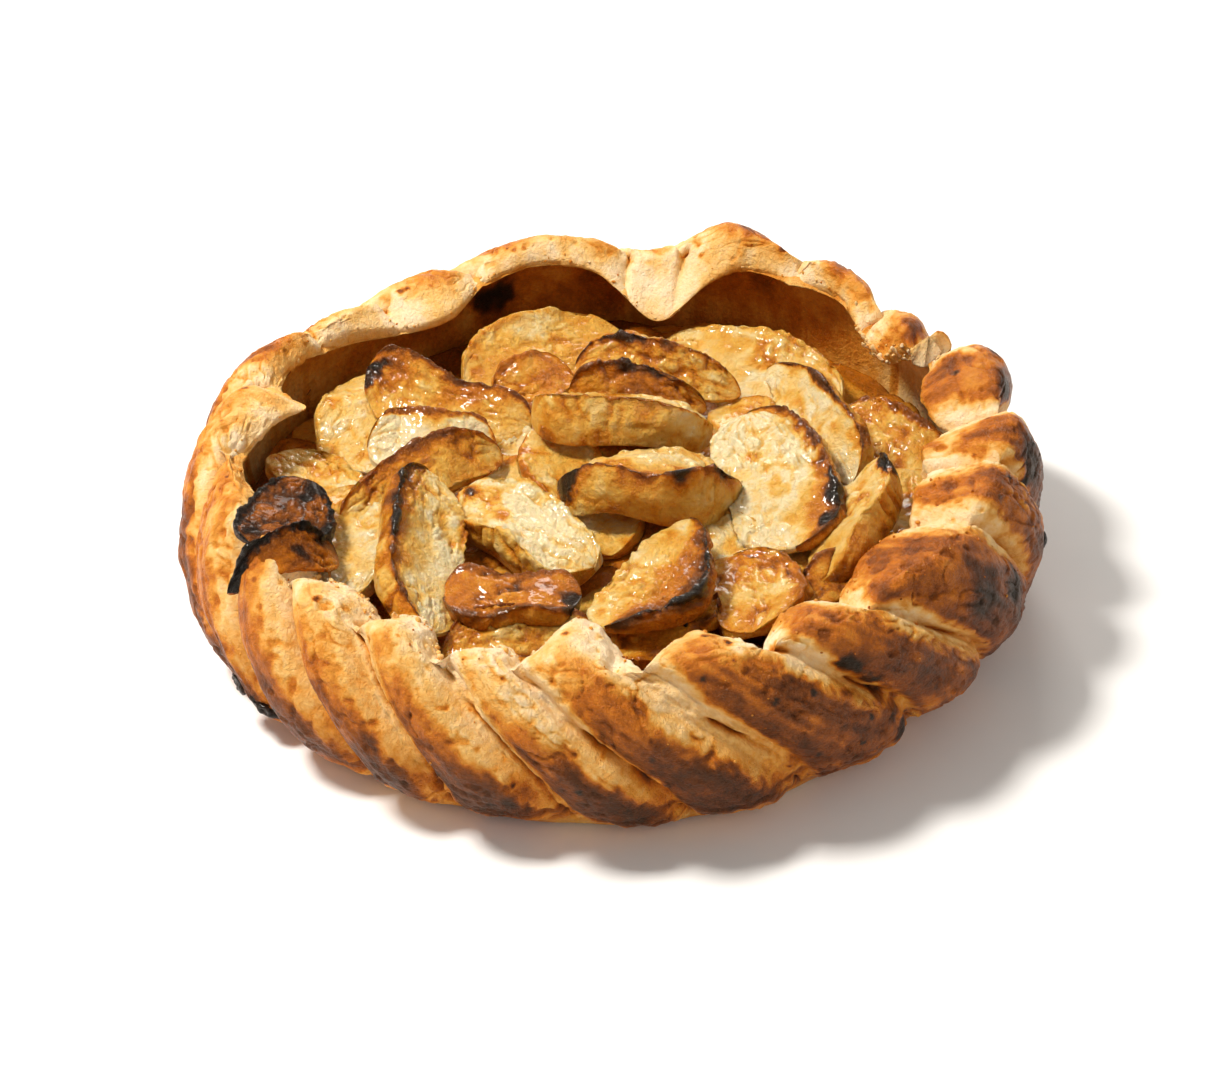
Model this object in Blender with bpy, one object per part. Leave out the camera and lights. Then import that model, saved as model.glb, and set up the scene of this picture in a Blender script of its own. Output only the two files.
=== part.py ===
"""Apple tart: a deep round pastry case with a twisted rope rim, filled with a heap of roasted apple slices.

Lengths are in millimetres until they reach Blender, angles in degrees. +Z is up, the tart rests on z = 0,
and azimuth 0 is +X, counted anticlockwise from above. The shown front is towards -Y.
"""

import math
import random
from collections import namedtuple

import bmesh
import bpy
import numpy as np

for old in list(bpy.data.objects):
    bpy.data.objects.remove(old, do_unlink=True)

MM = 0.001
CLEARANCE = 0.35        # gap between pieces that press on each other

# Pastry case: sizes shared by the whole ring
FLOOR = 5.0             # pastry under the filling
WALL = 11.0             # wall between the bulge outside and the filling

# Each fold of the twisted rim, anticlockwise. lip and wall: where its first crease lies at the rim's inner
# edge and at mid height outside. foot, bulge, crest: radii of the base, the widest place and the rim's top.
# height: of that top. tip and notch: how far in the rim reaches at the fold's middle and at its first crease.
# relief: how far the fold stands out from its creases. gap: share of the fold that is open pale crease.
# drop: how far the rim's inner edge lies below the crest. thick: dough at that edge.
Fold = namedtuple("Fold", "lip wall foot bulge crest height tip notch relief gap drop thick")
FOLDS = [
    Fold(3, 16, 105, 118, 106, 55, 88, 91, 8.0, 0.05, 5, 3.5),
    Fold(23.5, 36, 105, 115, 99, 51, 93, 98, 8.0, 0.05, 4.5, 3),
    Fold(38.5, 53, 106, 115, 102, 54, 98, 91, 7.0, 0.05, 5, 3),
    Fold(57, 72, 106, 117, 104, 56.5, 97, 97, 7.5, 0.05, 6, 3),
    Fold(77.5, 93, 106, 116, 101, 49, 93, 93, 2.0, 0.05, 4, 3),
    Fold(87, 104, 106, 117, 104, 53, 97, 92, 6.0, 0.05, 3.5, 2.8),
    Fold(114, 130, 106, 116, 102, 49, 88, 95, 5.5, 0.05, 3, 3),
    Fold(131, 147, 106, 117, 103, 49, 98, 93, 5.5, 0.05, 3.5, 3.5),
    Fold(145.5, 162, 106, 118, 105, 53, 99, 99, 6.0, 0.05, 3.5, 3),
    Fold(163.5, 182, 106, 118, 105, 53, 94, 97, 6.0, 0.05, 3.5, 3.2),
    Fold(181, 202, 105, 117, 104, 51, 96, 101, 6.0, 0.10, 4, 3.5),
    Fold(203, 214, 105, 116, 103, 52, 92, 96, 8.0, 0.10, 6, 5),
    Fold(216.5, 230, 105, 117, 104, 52, 90, 93, 6.5, 0.18, 6.5, 6),
    Fold(231.5, 243.5, 105, 117, 104, 52, 89, 91, 6.5, 0.20, 7, 6.5),
    Fold(245.5, 259, 105, 117, 103, 51, 90, 99, 6.0, 0.10, 7, 6.5),
    Fold(256, 272.5, 104, 117, 103, 53, 79, 94, 7.0, 0.25, 7, 6.5),
    Fold(273.5, 290, 100.5, 115, 103, 53, 85, 95, 7.0, 0.08, 7, 6.5),
    Fold(292, 309, 99.5, 115, 102, 53, 85, 93, 6.5, 0.06, 7, 6.5),
    Fold(308.5, 325, 101, 116, 102, 54, 83, 88, 7.0, 0.05, 7, 6.5),
    Fold(334.5, 342, 105, 117, 103, 54, 84, 85, 6.0, 0.05, 6.5, 6),
    Fold(350.5, 352, 104, 116, 106, 54, 85, 85, 8.0, 0.05, 6, 5),
]

# The torn inner edge, as bell shapes on the ring: how far the dough reaches in, hangs down and is thicker
# there, and how far the crest behind it sinks in and down
Tear = namedtuple("Tear", "azimuth half_width reach drop thick sink")
TEARS = [
    Tear(79.5, 6.0, 10.0, 8.0, 0.0, 0.0),      # the tongue that sagged over the filling
    Tear(166.0, 2.2, 8.0, -0.5, -0.8, 0.0),   # the pointed tooth
    Tear(129.0, 11.0, 1.0, 0.5, 2.0, 0.0),    # the thick rolled stretch
    Tear(32.0, 3.0, 2.0, 3.0, 0.0, 0.0),      # the torn flap
    Tear(25.0, 2.6, 0.0, 0.0, 0.0, 6.5),      # the deep nick in the crest beside it
    Tear(262.0, 4.5, 0.0, -3.0, 0.0, 0.0),    # the tallest tip at the front
]

# Stations of the case's section, from the underside out, up, over the rim and down inside. relief and
# twist: the share of a fold's relief there, and how far its crease has turned, 1 being mid height outside
STATIONS = ("under", "foot", "low", "bulge", "upper", "shoulder", "crest", "slope",
            "lip_top", "lip_low", "hollow", "inside", "inside_low", "corner")
RELIEF = (0.0, 0.06, 0.45, 0.9, 1.0, 1.0, 0.85, 0.55, 0.25, 0.15, 0.1, 0.0, 0.0, 0.0)
TWIST = (1.55, 1.5, 1.38, 1.08, 0.62, 0.22, 0.0, 0.0, 0.0, 0.0, 0.0, 0.0, 0.0, 0.0)
RINGS = (0, 1, 2, 2.5, 3, 3.5, 4, 4.5, 5, 5.5, 6, 6.5, 7, 8, 9, 10, 11, 12, 13)
ACROSS_FOLD = (0.0, 0.09, 0.27, 0.45, 0.63, 0.80, 0.92)


def ease(x):
    """A smooth step from 0 to 1."""
    x = np.clip(x, 0.0, 1.0)
    return x * x * (3.0 - 2.0 * x)


def fold_place(place):
    """(number of the fold, how far across it) of a place counted in folds around the ring."""
    number = np.floor(place).astype(int)
    return number % len(FOLDS), place - number


def blended(field, place):
    """A fold's value, blended smoothly from the middle of one fold to the middle of the next."""
    values = np.array([getattr(fold, field) for fold in FOLDS], float)
    before, share = fold_place(np.asarray(place, float) - 0.5)
    share = ease(share)
    return values[before] * (1.0 - share) + values[(before + 1) % len(FOLDS)] * share


def azimuth_at(place, twist):
    """Azimuth of a place on the ring, where the creases have turned by this much on their way down."""
    starts = np.array([fold.lip + twist * (fold.wall - fold.lip) for fold in FOLDS + [FOLDS[0]]])
    starts[-1] += 360.0
    number, across = fold_place(np.asarray(place, float))
    turns = np.floor(np.asarray(place, float) / len(FOLDS))
    return starts[number] * (1.0 - across) + starts[number + 1] * across + 360.0 * turns


def place_at(azimuth):
    """The place on the ring, counted in folds, of an azimuth at the rim's inner edge."""
    starts = np.array([fold.lip for fold in FOLDS] + [FOLDS[0].lip + 360.0])
    return np.interp((np.asarray(azimuth, float) - starts[0]) % 360.0 + starts[0], starts, range(len(starts)))


def ridge(place):
    """Height of the fold here, from 0 in a crease to 1 on its back."""
    number, across = fold_place(place)
    gap = np.array([fold.gap for fold in FOLDS])[number]
    back = np.clip(across / (1.0 - gap), 0.0, 1.0)
    return (4.0 * back * (1.0 - back)) ** 0.62


def lip_edge(place):
    """(radius, height, thickness, sink of the crest) of the rim's inner edge, with its scallops and tears."""
    number, across = fold_place(place)
    notch = np.array([fold.notch for fold in FOLDS + [FOLDS[0]]])
    tip = np.array([fold.tip for fold in FOLDS])
    base = notch[number] + (notch[number + 1] - notch[number]) * ease(across)
    scallop = np.sin(math.pi * across) ** 0.9
    radius = base + (tip[number] - 0.5 * (notch[number] + notch[number + 1])) * scallop
    height = blended("height", place) - blended("drop", place) - 1.5 * (1.0 - scallop)
    thick = blended("thick", place)
    sink = np.zeros_like(radius)
    azimuth = azimuth_at(place, 0.0)
    for tear in TEARS:
        off = (azimuth - tear.azimuth + 180.0) % 360.0 - 180.0
        share = np.exp(-0.5 * (off / tear.half_width) ** 2)
        radius -= tear.reach * share
        height -= tear.drop * share
        thick += tear.thick * share
        sink += tear.sink * share
    return radius, height, thick, sink


def section(place):
    """Radii and heights of every station at these places: two arrays, place by station."""
    foot, bulge, crest, top = (blended(name, place) for name in ("foot", "bulge", "crest", "height"))
    lip, lip_z, thick, sink = lip_edge(place)
    crest, top = crest - sink, top - 0.5 * sink
    inside = bulge - WALL
    radii = [foot - 9, foot, foot + 0.66 * (bulge - foot), bulge, bulge - 0.12 * (bulge - crest),
             crest + 0.42 * (bulge - crest), crest, 0.5 * (crest + lip), lip, lip + 0.8,
             lip + 0.55 * (inside - lip), inside, inside - 1.0, inside - 7]
    heights = [0 * top, 1.6 + 0 * top, 0.17 * top, 0.45 * top, 0.72 * top,
               0.93 * top, top, 0.42 * top + 0.58 * lip_z + 1.5, lip_z, lip_z - thick,
               lip_z - thick + 0.5, 0.58 * top, 0.26 * top, FLOOR + 0 * top]
    return np.stack(radii, -1), np.stack(heights, -1)


def along_stations(values, where):
    """A smooth curve through the stations' values, read between them (Catmull-Rom)."""
    last = values.shape[-1] - 1
    i = min(int(where), last - 1)
    t = where - i
    a, b, c, d = (values[..., min(max(k, 0), last)] for k in (i - 1, i, i + 1, i + 2))
    return b + 0.5 * t * (c - a + t * (2 * a - 5 * b + 4 * c - d + t * (3 * (b - c) + d - a)))


def case_points():
    """Points of the case's skin: ring by place by coordinate, in mm."""
    place = np.array([number + across for number in range(len(FOLDS)) for across in ACROSS_FOLD])
    radii, heights = section(place)
    stand_out = blended("relief", place) * (ridge(place) - 0.6)
    relief, twist = np.array(RELIEF), np.array(TWIST)
    rings = []
    for where in RINGS:
        r, z = along_stations(radii, where), along_stations(heights, where)
        near = min(where + 0.05, len(STATIONS) - 1), max(where - 0.05, 0)
        run_r = along_stations(radii, near[0]) - along_stations(radii, near[1])
        run_z = along_stations(heights, near[0]) - along_stations(heights, near[1])
        length = np.hypot(run_r, run_z)
        out = stand_out * max(0.0, float(along_stations(relief, where)))
        r, z = r + out * run_z / length, z - out * run_r / length
        azimuth = np.radians(azimuth_at(place, float(along_stations(twist, where))))
        rings.append(np.stack([r * np.cos(azimuth), r * np.sin(azimuth), np.maximum(z, 0.0)], -1))
    return np.array(rings)


def material(name, colour, roughness):
    """A plain Principled material: colour as it shows in the photograph, in linear light."""
    made = bpy.data.materials.new(name)
    made.use_nodes = True
    shader = made.node_tree.nodes["Principled BSDF"]
    shader.inputs["Base Color"].default_value = (*colour, 1.0)
    shader.inputs["Roughness"].default_value = roughness
    shader.inputs["Metallic"].default_value = 0.0
    made.diffuse_color = (*colour, 1.0)
    return made


def add_mesh(name, points, faces, finish):
    """A smooth-shaded mesh object from points in mm."""
    mesh = bpy.data.meshes.new(name)
    mesh.from_pydata([tuple(MM * float(v) for v in point) for point in points], [], faces)
    mesh.materials.append(finish)
    made = bpy.data.objects.new(name, mesh)
    bpy.context.scene.collection.objects.link(made)
    shell = bmesh.new()
    shell.from_mesh(mesh)
    bmesh.ops.recalc_face_normals(shell, faces=shell.faces)
    shell.to_mesh(mesh)
    shell.free()
    mesh.shade_smooth()
    mesh.set_sharp_from_angle(angle=math.radians(45))
    return made


def tube_faces(rings, around):
    """Faces of stacked closed rings, with one flat cap at each end."""
    faces = [tuple(reversed(range(around))), tuple(range((rings - 1) * around, rings * around))]
    for ring in range(rings - 1):
        for i in range(around):
            j = (i + 1) % around
            low, high = ring * around, (ring + 1) * around
            faces += [(low + i, low + j, high + j), (low + i, high + j, high + i)]
    return faces


# Materials
CRUST = material("crust", (0.62, 0.27, 0.07), 0.45)
FILLING = material("filling_base", (0.42, 0.17, 0.03), 0.35)
APPLE = material("apple", (0.80, 0.45, 0.10), 0.35)
BURNT = material("burnt_apple", (0.10, 0.04, 0.02), 0.55)

# Pastry case, one solid from the base over the twisted rim to the inner floor
skin = case_points()
case = add_mesh("crust", skin.reshape(-1, 3), tube_faces(len(RINGS), skin.shape[1]), CRUST)


def grown(made, gap):
    """A hidden copy of a solid with every face moved out by at least the gap, to keep neighbours clear."""
    copy = bpy.data.objects.new(made.name + "_clearance", made.data.copy())
    bpy.context.scene.collection.objects.link(copy)
    shell = bmesh.new()
    shell.from_mesh(copy.data)
    shell.normal_update()
    moves = []
    for point in shell.verts:
        lean = min(point.normal.dot(face.normal) for face in point.link_faces)
        moves.append(point.normal * (gap * MM / max(lean, 0.3)))
    for point, move in zip(shell.verts, moves):
        point.co += move
    shell.to_mesh(copy.data)
    shell.free()
    copy.hide_render = True
    copy.display_type = "WIRE"
    return copy


# Apple under the slices that show: one soft heap that fills the case and rises to the middle
BED_AROUND = 30
BED_EDGE = 23.0         # height of the heap at the wall
BED_MIDDLE = 33.0       # height of the heap at the centre
BED_LUMP = 1.6          # how uneven its top is
BED_RINGS = (0.98, 0.82, 0.62, 0.40, 0.18)


def bed_top(x, y):
    """Height of the heap under the slices: a low dome with lumps the size of apple chunks."""
    r = np.hypot(x, y)
    dome = BED_EDGE + (BED_MIDDLE - BED_EDGE) * ease(1.15 - r / 90.0)
    return dome + BED_LUMP * (np.sin(x / 9.0 + 1.0) * np.cos(y / 8.0) + 0.5 * np.sin((x - y) / 6.0))


def bed_points():
    """Rings of the heap from its foot, up the wall and in over the top."""
    azimuth = np.arange(BED_AROUND) * 360.0 / BED_AROUND
    radii, heights = section(place_at(azimuth))
    cos, sin = np.cos(np.radians(azimuth)), np.sin(np.radians(azimuth))
    inside, low, corner = (radii[:, STATIONS.index(name)] - 2.2 * CLEARANCE
                           for name in ("inside", "inside_low", "corner"))
    low_z = heights[:, STATIONS.index("inside_low")]
    rings = [np.stack([corner * cos, corner * sin, np.full_like(cos, FLOOR + CLEARANCE)], -1),
             np.stack([low * cos - 0.6 * cos, low * sin - 0.6 * sin, low_z], -1)]
    for share in BED_RINGS:
        x, y = inside * share * cos, inside * share * sin
        rings.append(np.stack([x, y, bed_top(x, y)], -1))
    rings[-1][:, 2] = BED_MIDDLE    # the innermost ring is level, so that the face inside it is flat
    return np.array(rings)


heap = bed_points()
bed = add_mesh("filling_base", heap.reshape(-1, 3), tube_faces(len(heap), BED_AROUND), FILLING)

# Apple slices that show, from the top of the heap down, so that each is cut by those above it.
# a, b: the ends of its long axis. The rounded outer side is on the left of a to b, seen from above.
# roll: turns the upper face towards the outer side. wide, thick: across, and through its outer side.
# curl: how far the ends rise. bow: how far the middle is pushed outwards. slim: thickness of the core side.
# blunt: from 0, pointed ends, to 1, square ends. taper: how much wider the b end is than the a end.
Slice = namedtuple("Slice", "name a b roll wide thick curl bow slim blunt taper")
SLICES = [
    Slice("slice_centre_front", (35, -14, 43), (-15, -13, 46), -9, 25, 19, -7, 2, 0.25, 0.3, 0.12),
    Slice("slice_centre_mid", (28, 15, 42.5), (-22, 22, 47.5), -18, 22, 16, -3, 2, 0.35, 0.6, 0.2),
    Slice("slice_centre_back", (-10, 52, 42), (37, 40, 38), -45, 17, 7, -4, 2, 0.4, 0.3, -0.2),
    Slice("slice_centre_nested", (-12, 39, 41), (27, 34, 37), -52, 15, 8, -4, 2, 0.4, 0.5, -0.3),
    Slice("slice_front_leaf", (21, -35, 45), (-2, -76, 41), -12, 29, 9, 2, 2, 0.3, 0.0, 0.2),
    Slice("slice_right_broad", (37, 16, 45), (47, -40, 39), -10, 32, 11, 0.5, -1, 0.5, 0.7, 0.15),
    Slice("slice_right_slim", (46, 45, 42), (66, -8, 39), -32, 17, 11, -1, 3, 0.3, 0.2, 0.2),
    Slice("slice_right_tip", (73, -8, 46), (52, -54, 36), -28, 21, 13, 1, 1, 0.3, 0.0, 0.2),
    Slice("slice_left_ridge", (-48, -73, 40), (-50, -12, 49), -30, 24, 13, -1, 1, 0.3, 0.4, -0.15),
    Slice("slice_left_pale", (-6, -47, 40), (-40, -11, 42), 10, 23, 12, -1, 1, 0.6, 0.6, 0.0),
    Slice("slice_front_brown", (-9, -60, 41), (-45, -58, 41), 14, 19, 9, -1, 1, 0.4, 0.6, 0.0),
    Slice("slice_back_left", (-23, 25, 36), (-69, 45, 45), 38, 25, 9, -1, 2, 0.5, 0.4, 0.1),
    Slice("slice_mid_left_lower", (-74, -22, 39), (-31, 9, 42), -30, 17, 9, -4, 3, 0.4, 0.4, 0.2),
    Slice("slice_mid_left_upper", (-68, 15, 39), (-32, 14, 38), -25, 19, 8, -1, 1, 0.5, 0.8, -0.1),
    Slice("slice_far_left", (-71, -52, 36), (-67, -6, 39), 8, 28, 12, -1, 2, 0.5, 0.4, 0.0),
    Slice("slice_burnt_tail", (-99, -59, 48), (-71, -45, 48), -35, 15, 5, -12, 2, 0.5, 0.1, 0.4),
    Slice("slice_burnt_leaf", (-82, -16, 48), (-93, -51, 52), 15, 23, 6, 1, 1, 0.5, 0.4, 0.1),
    Slice("slice_back_yellow", (-42, 53, 30), (5, 78, 32), -18, 32, 10, 0, 3, 0.5, 0.5, 0.0),
    Slice("slice_back_inner", (-33, 44, 34), (-11, 54, 36), -15, 20, 8, 0, 1, 0.5, 0.6, 0.0),
    Slice("slice_back_right", (13, 72, 31), (64, 34, 31), -15, 34, 10, 0, 3, 0.5, 0.6, 0.0),
    Slice("slice_far_right", (64, 35, 31), (88, 2, 30), -12, 25, 10, 0, 2, 0.5, 0.4, 0.0),
    Slice("slice_right_edge", (84, 4, 32), (70, -36, 33), 5, 24, 10, 0, 2, 0.5, 0.3, 0.0),
    Slice("slice_left_big", (-70, 9, 33), (-64, 57, 36), 12, 29, 11, 0, 3, 0.5, 0.5, 0.0),
    Slice("slice_left_low", (-93, 20, 33), (-70, -17, 34), 5, 24, 9, 0, 2, 0.5, 0.4, 0.0),
    Slice("slice_left_edge", (-72, -40, 33), (-83, 0, 33), 5, 22, 9, 0, 1, 0.5, 0.3, 0.0),
    Slice("slice_front_edge", (-45, -73, 33), (-3, -72, 34), -25, 19, 10, -1, 1, 0.4, 0.5, 0.0),
    Slice("slice_front_right", (32, -40, 37), (36, -76, 39), -8, 26, 9, 1, 2, 0.5, 0.6, 0.0),
    Slice("slice_right_under", (34, -27, 32), (58, -46, 32), 5, 22, 9, 0, 1, 0.5, 0.4, 0.0),
    Slice("slice_front_pale", (21, -22, 36), (33, -55, 34), 0, 26, 9, 0, 1, 0.5, 0.5, 0.0),
    Slice("slice_front_corner", (44, -63, 36), (65, -46, 38), -20, 14, 8, 0, 1, 0.5, 0.3, 0.0),
    Slice("slice_front_low", (-6, -72, 34), (22, -76, 36), -10, 18, 8, 0, 1, 0.5, 0.5, 0.0),
    Slice("slice_curl", (19, -51, 37), (21, -70, 37), -10, 12, 7, 0, 1, 0.6, 0.5, 0.0),
    Slice("slice_centre_long", (-21, 21, 38), (0, -34, 34), 5, 24, 9, 0, 1, 0.5, 0.3, 0.0),
    Slice("slice_centre_under", (0, -25, 32), (24, -14, 32), 0, 20, 9, 0, 1, 0.5, 0.5, 0.0),
    Slice("slice_centre_cream", (-37, 23, 33), (-15, 2, 33), 0, 20, 9, 0, 1, 0.5, 0.4, 0.0),
    Slice("slice_left_inner", (-37, 14, 33), (-15, -18, 33), -5, 14, 8, 0, 1, 0.5, 0.3, 0.0),
    Slice("slice_gap_low", (-47, -24, 31), (-31, -35, 31), 0, 16, 8, 0, 1, 0.5, 0.5, 0.0),
    Slice("slice_core_low", (-17, 16, 35), (12, 20, 36), 0, 18, 8, 0, 1, 0.5, 0.4, 0.0),
    Slice("slice_mid_right_low", (30, 38, 33), (49, 10, 33), 0, 20, 9, 0, 1, 0.5, 0.5, 0.0),
]
LONG_STEPS = 7
# The section of a slice: (share of the width from the core side, share of the thickness there)
SLICE_SECTION = ((0.0, -1.0), (0.5, -0.9), (0.93, -1.0), (1.0, 0.0), (0.93, 1.0), (0.5, 0.72), (0.0, 1.0))


def wobble(seed, t):
    """A smooth seeded unevenness along a slice, between about -1 and 1."""
    draw = random.Random(seed)
    waves = [(draw.uniform(1.5, 4.5), draw.uniform(0.0, 6.3)) for _ in range(3)]
    return sum(math.sin(rate * t + start) for rate, start in waves) / 2.2


def slice_points(piece):
    """Stations along the slice by points round its section, in mm."""
    a, b = np.array(piece.a, float), np.array(piece.b, float)
    half = 0.5 * np.linalg.norm(b - a)
    along = (b - a) / (2.0 * half)
    left = np.cross((0.0, 0.0, 1.0), along)
    left /= np.linalg.norm(left)
    up = np.cross(along, left)
    middle = 0.5 * (a + b)
    seed = piece.name
    square = 2.1 + 4.0 * piece.blunt
    rings = []
    for step in range(LONG_STEPS + 1):
        t = -math.cos(math.pi * (step + 0.35) / (LONG_STEPS + 0.7))
        roll = math.radians(piece.roll + 7.0 * wobble(seed + "twist", t))
        face = math.cos(roll) * up + math.sin(roll) * left
        outer = math.cos(roll) * left - math.sin(roll) * up
        edge = (1.0 - abs(t) ** square) ** 0.6 * (1.0 + piece.taper * t)
        out = piece.wide * edge * (0.58 + 0.07 * wobble(seed + "out", t))
        core = piece.wide * edge * (-0.42 + 0.07 * wobble(seed + "core", t))
        body = 0.5 + 0.5 * (1.0 - abs(t) ** square)
        shift = piece.bow * (0.5 - t * t)
        lift = piece.curl * (t * t - 0.4) + 0.8 * wobble(seed + "lift", t)
        ring = []
        for across, through in SLICE_SECTION:
            thick = piece.thick * body * (piece.slim + (1.0 - piece.slim) * across)
            thick *= 1.0 + 0.16 * wobble(seed + str(across), t)
            ring.append(middle + along * half * t + outer * (core + across * (out - core) + shift)
                        + face * (0.5 * through * thick + lift))
        rings.append(ring)
    return np.array(rings)


def add_slice(piece):
    """One slice, whole, before its neighbours are cut from it."""
    points = slice_points(piece)
    faces = tube_faces(len(points), len(SLICE_SECTION))
    finish = BURNT if "burnt" in piece.name else APPLE
    return add_mesh(piece.name, points.reshape(-1, 3), faces, finish)


def largest_island(mesh):
    """Keeps the largest connected part of a mesh; a cut can leave scraps."""
    shell = bmesh.new()
    shell.from_mesh(mesh)
    todo, islands = set(shell.verts), []
    while todo:
        stack, island = [todo.pop()], set()
        while stack:
            point = stack.pop()
            island.add(point)
            for edge in point.link_edges:
                other = edge.other_vert(point)
                if other in todo:
                    todo.discard(other)
                    stack.append(other)
        islands.append(island)
    islands.sort(key=len)
    scraps = [point for island in islands[:-1] for point in island]
    bmesh.ops.delete(shell, geom=scraps, context="VERTS")
    bmesh.ops.triangulate(shell, faces=shell.faces)
    shell.to_mesh(mesh)
    shell.free()


def trimmed(made, cutters):
    """The solid with its neighbours' clearances cut from it, applied."""
    for cutter in cutters:
        cut = made.modifiers.new("cut", "BOOLEAN")
        cut.operation = "DIFFERENCE"
        cut.solver = "EXACT"
        cut.object = cutter
    bpy.context.view_layer.update()
    graph = bpy.context.evaluated_depsgraph_get()
    mesh = bpy.data.meshes.new_from_object(made.evaluated_get(graph))
    made.modifiers.clear()
    made.data = mesh
    largest_island(mesh)
    return made


def apart(first, second):
    """Whether two meshes' boxes don't meet, so that neither cuts the other."""
    boxes = [np.array([point.co for point in made.data.vertices]) for made in (first, second)]
    return bool((boxes[0].min(0) > boxes[1].max(0)).any() or (boxes[1].min(0) > boxes[0].max(0)).any())


case_clearance = grown(case, CLEARANCE)
bed_clearance = grown(bed, CLEARANCE)
above = []
for piece in SLICES:
    made = add_slice(piece)
    near = [cutter for cutter in above if not apart(made, cutter)]
    above.append(grown(made, CLEARANCE))
    trimmed(made, [case_clearance, bed_clearance] + near)
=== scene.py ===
"""Apple tart: the look of the baked pastry case, the roasted apple slices and the juice between them.

Lengths are in millimetres until they reach Blender, angles in degrees. Azimuth 0 is +X, the shown front is
towards -Y, and the tart rests on z = 0, as in the solids that this script dresses.
"""

import itertools
import math
import random
from collections import namedtuple

import bmesh
import bpy
import numpy as np
from mathutils import Matrix, Vector
from mathutils.bvhtree import BVHTree


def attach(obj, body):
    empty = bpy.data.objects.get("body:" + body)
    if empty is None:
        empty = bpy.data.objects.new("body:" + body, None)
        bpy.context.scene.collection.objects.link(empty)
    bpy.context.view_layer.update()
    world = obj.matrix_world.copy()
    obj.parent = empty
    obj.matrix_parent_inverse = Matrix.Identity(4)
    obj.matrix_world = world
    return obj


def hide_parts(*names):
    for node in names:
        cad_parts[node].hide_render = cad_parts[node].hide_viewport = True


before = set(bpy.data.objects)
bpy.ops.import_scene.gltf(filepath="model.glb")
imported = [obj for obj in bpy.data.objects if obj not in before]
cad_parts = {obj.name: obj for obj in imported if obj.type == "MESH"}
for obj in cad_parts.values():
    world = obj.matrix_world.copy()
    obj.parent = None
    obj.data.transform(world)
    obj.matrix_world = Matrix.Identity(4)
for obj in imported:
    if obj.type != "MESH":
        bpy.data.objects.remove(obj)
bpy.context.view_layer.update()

# Pastry case
# A sheet of butter dough lines a round tin, and its edge is folded over on itself in a twisted rope. The egg
# wash on the folds' backs browned and burnt in the oven, while the creases and the inner slope stayed pale.
MM = 0.001
FLOOR = 5.0             # pastry under the filling
WALL = 11.0             # wall between the bulge outside and the filling

# Each fold, anticlockwise. lip and wall: azimuth of its first crease at the rim's inner edge and at mid
# height outside. foot, bulge, crest: radii. height: of the crest. tip and notch: radius of the rim's inner
# edge at the fold's middle and at its first crease. relief: how far the fold stands out. gap: share that is
# open crease. drop: how far the rim's inner edge lies below the crest. thick: dough at that edge.
Fold = namedtuple("Fold", "lip wall foot bulge crest height tip notch relief gap drop thick")
FOLDS = Fold(*np.array([
    (3, 16, 105, 118, 106, 55, 88, 91, 8.0, 0.05, 5, 3.5),
    (23.5, 36, 105, 115, 99, 51, 93, 98, 8.0, 0.05, 4.5, 3),
    (38.5, 53, 106, 115, 102, 54, 98, 91, 7.0, 0.05, 5, 3),
    (57, 72, 106, 117, 104, 56.5, 97, 97, 7.5, 0.05, 6, 3),
    (77.5, 93, 106, 116, 101, 49, 93, 93, 2.0, 0.05, 4, 3),
    (87, 104, 106, 117, 104, 53, 97, 92, 6.0, 0.05, 3.5, 2.8),
    (114, 130, 106, 116, 102, 49, 88, 95, 5.5, 0.05, 3, 3),
    (131, 147, 106, 117, 103, 49, 98, 93, 5.5, 0.05, 3.5, 3.5),
    (145.5, 162, 106, 118, 105, 53, 99, 99, 6.0, 0.05, 3.5, 3),
    (163.5, 182, 106, 118, 105, 53, 94, 97, 6.0, 0.05, 3.5, 3.2),
    (181, 202, 105, 117, 104, 51, 96, 101, 6.0, 0.10, 4, 3.5),
    (203, 214, 105, 116, 103, 52, 92, 96, 8.0, 0.10, 6, 5),
    (216.5, 230, 105, 117, 104, 52, 90, 93, 6.5, 0.18, 6.5, 6),
    (231.5, 243.5, 105, 117, 104, 52, 89, 91, 6.5, 0.20, 7, 6.5),
    (245.5, 259, 105, 117, 103, 51, 90, 99, 6.0, 0.10, 7, 6.5),
    (256, 272.5, 104, 117, 103, 53, 79, 94, 7.0, 0.25, 7, 6.5),
    (273.5, 290, 100.5, 115, 103, 53, 85, 95, 7.0, 0.08, 7, 6.5),
    (292, 309, 99.5, 115, 102, 53, 85, 93, 6.5, 0.06, 7, 6.5),
    (308.5, 325, 101, 116, 102, 54, 83, 88, 7.0, 0.05, 7, 6.5),
    (334.5, 342, 105, 117, 103, 54, 84, 85, 6.0, 0.05, 6.5, 6),
    (350.5, 352, 104, 116, 106, 54, 85, 85, 8.0, 0.05, 6, 5),
]).T)
FOLD_COUNT = len(FOLDS.lip)

# Where the lip is soft, sagged dough, which stays smooth: azimuth and half width
SMOOTH = [(79.5, 9.5), (129.0, 14.0), (57.0, 7.0)]

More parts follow.
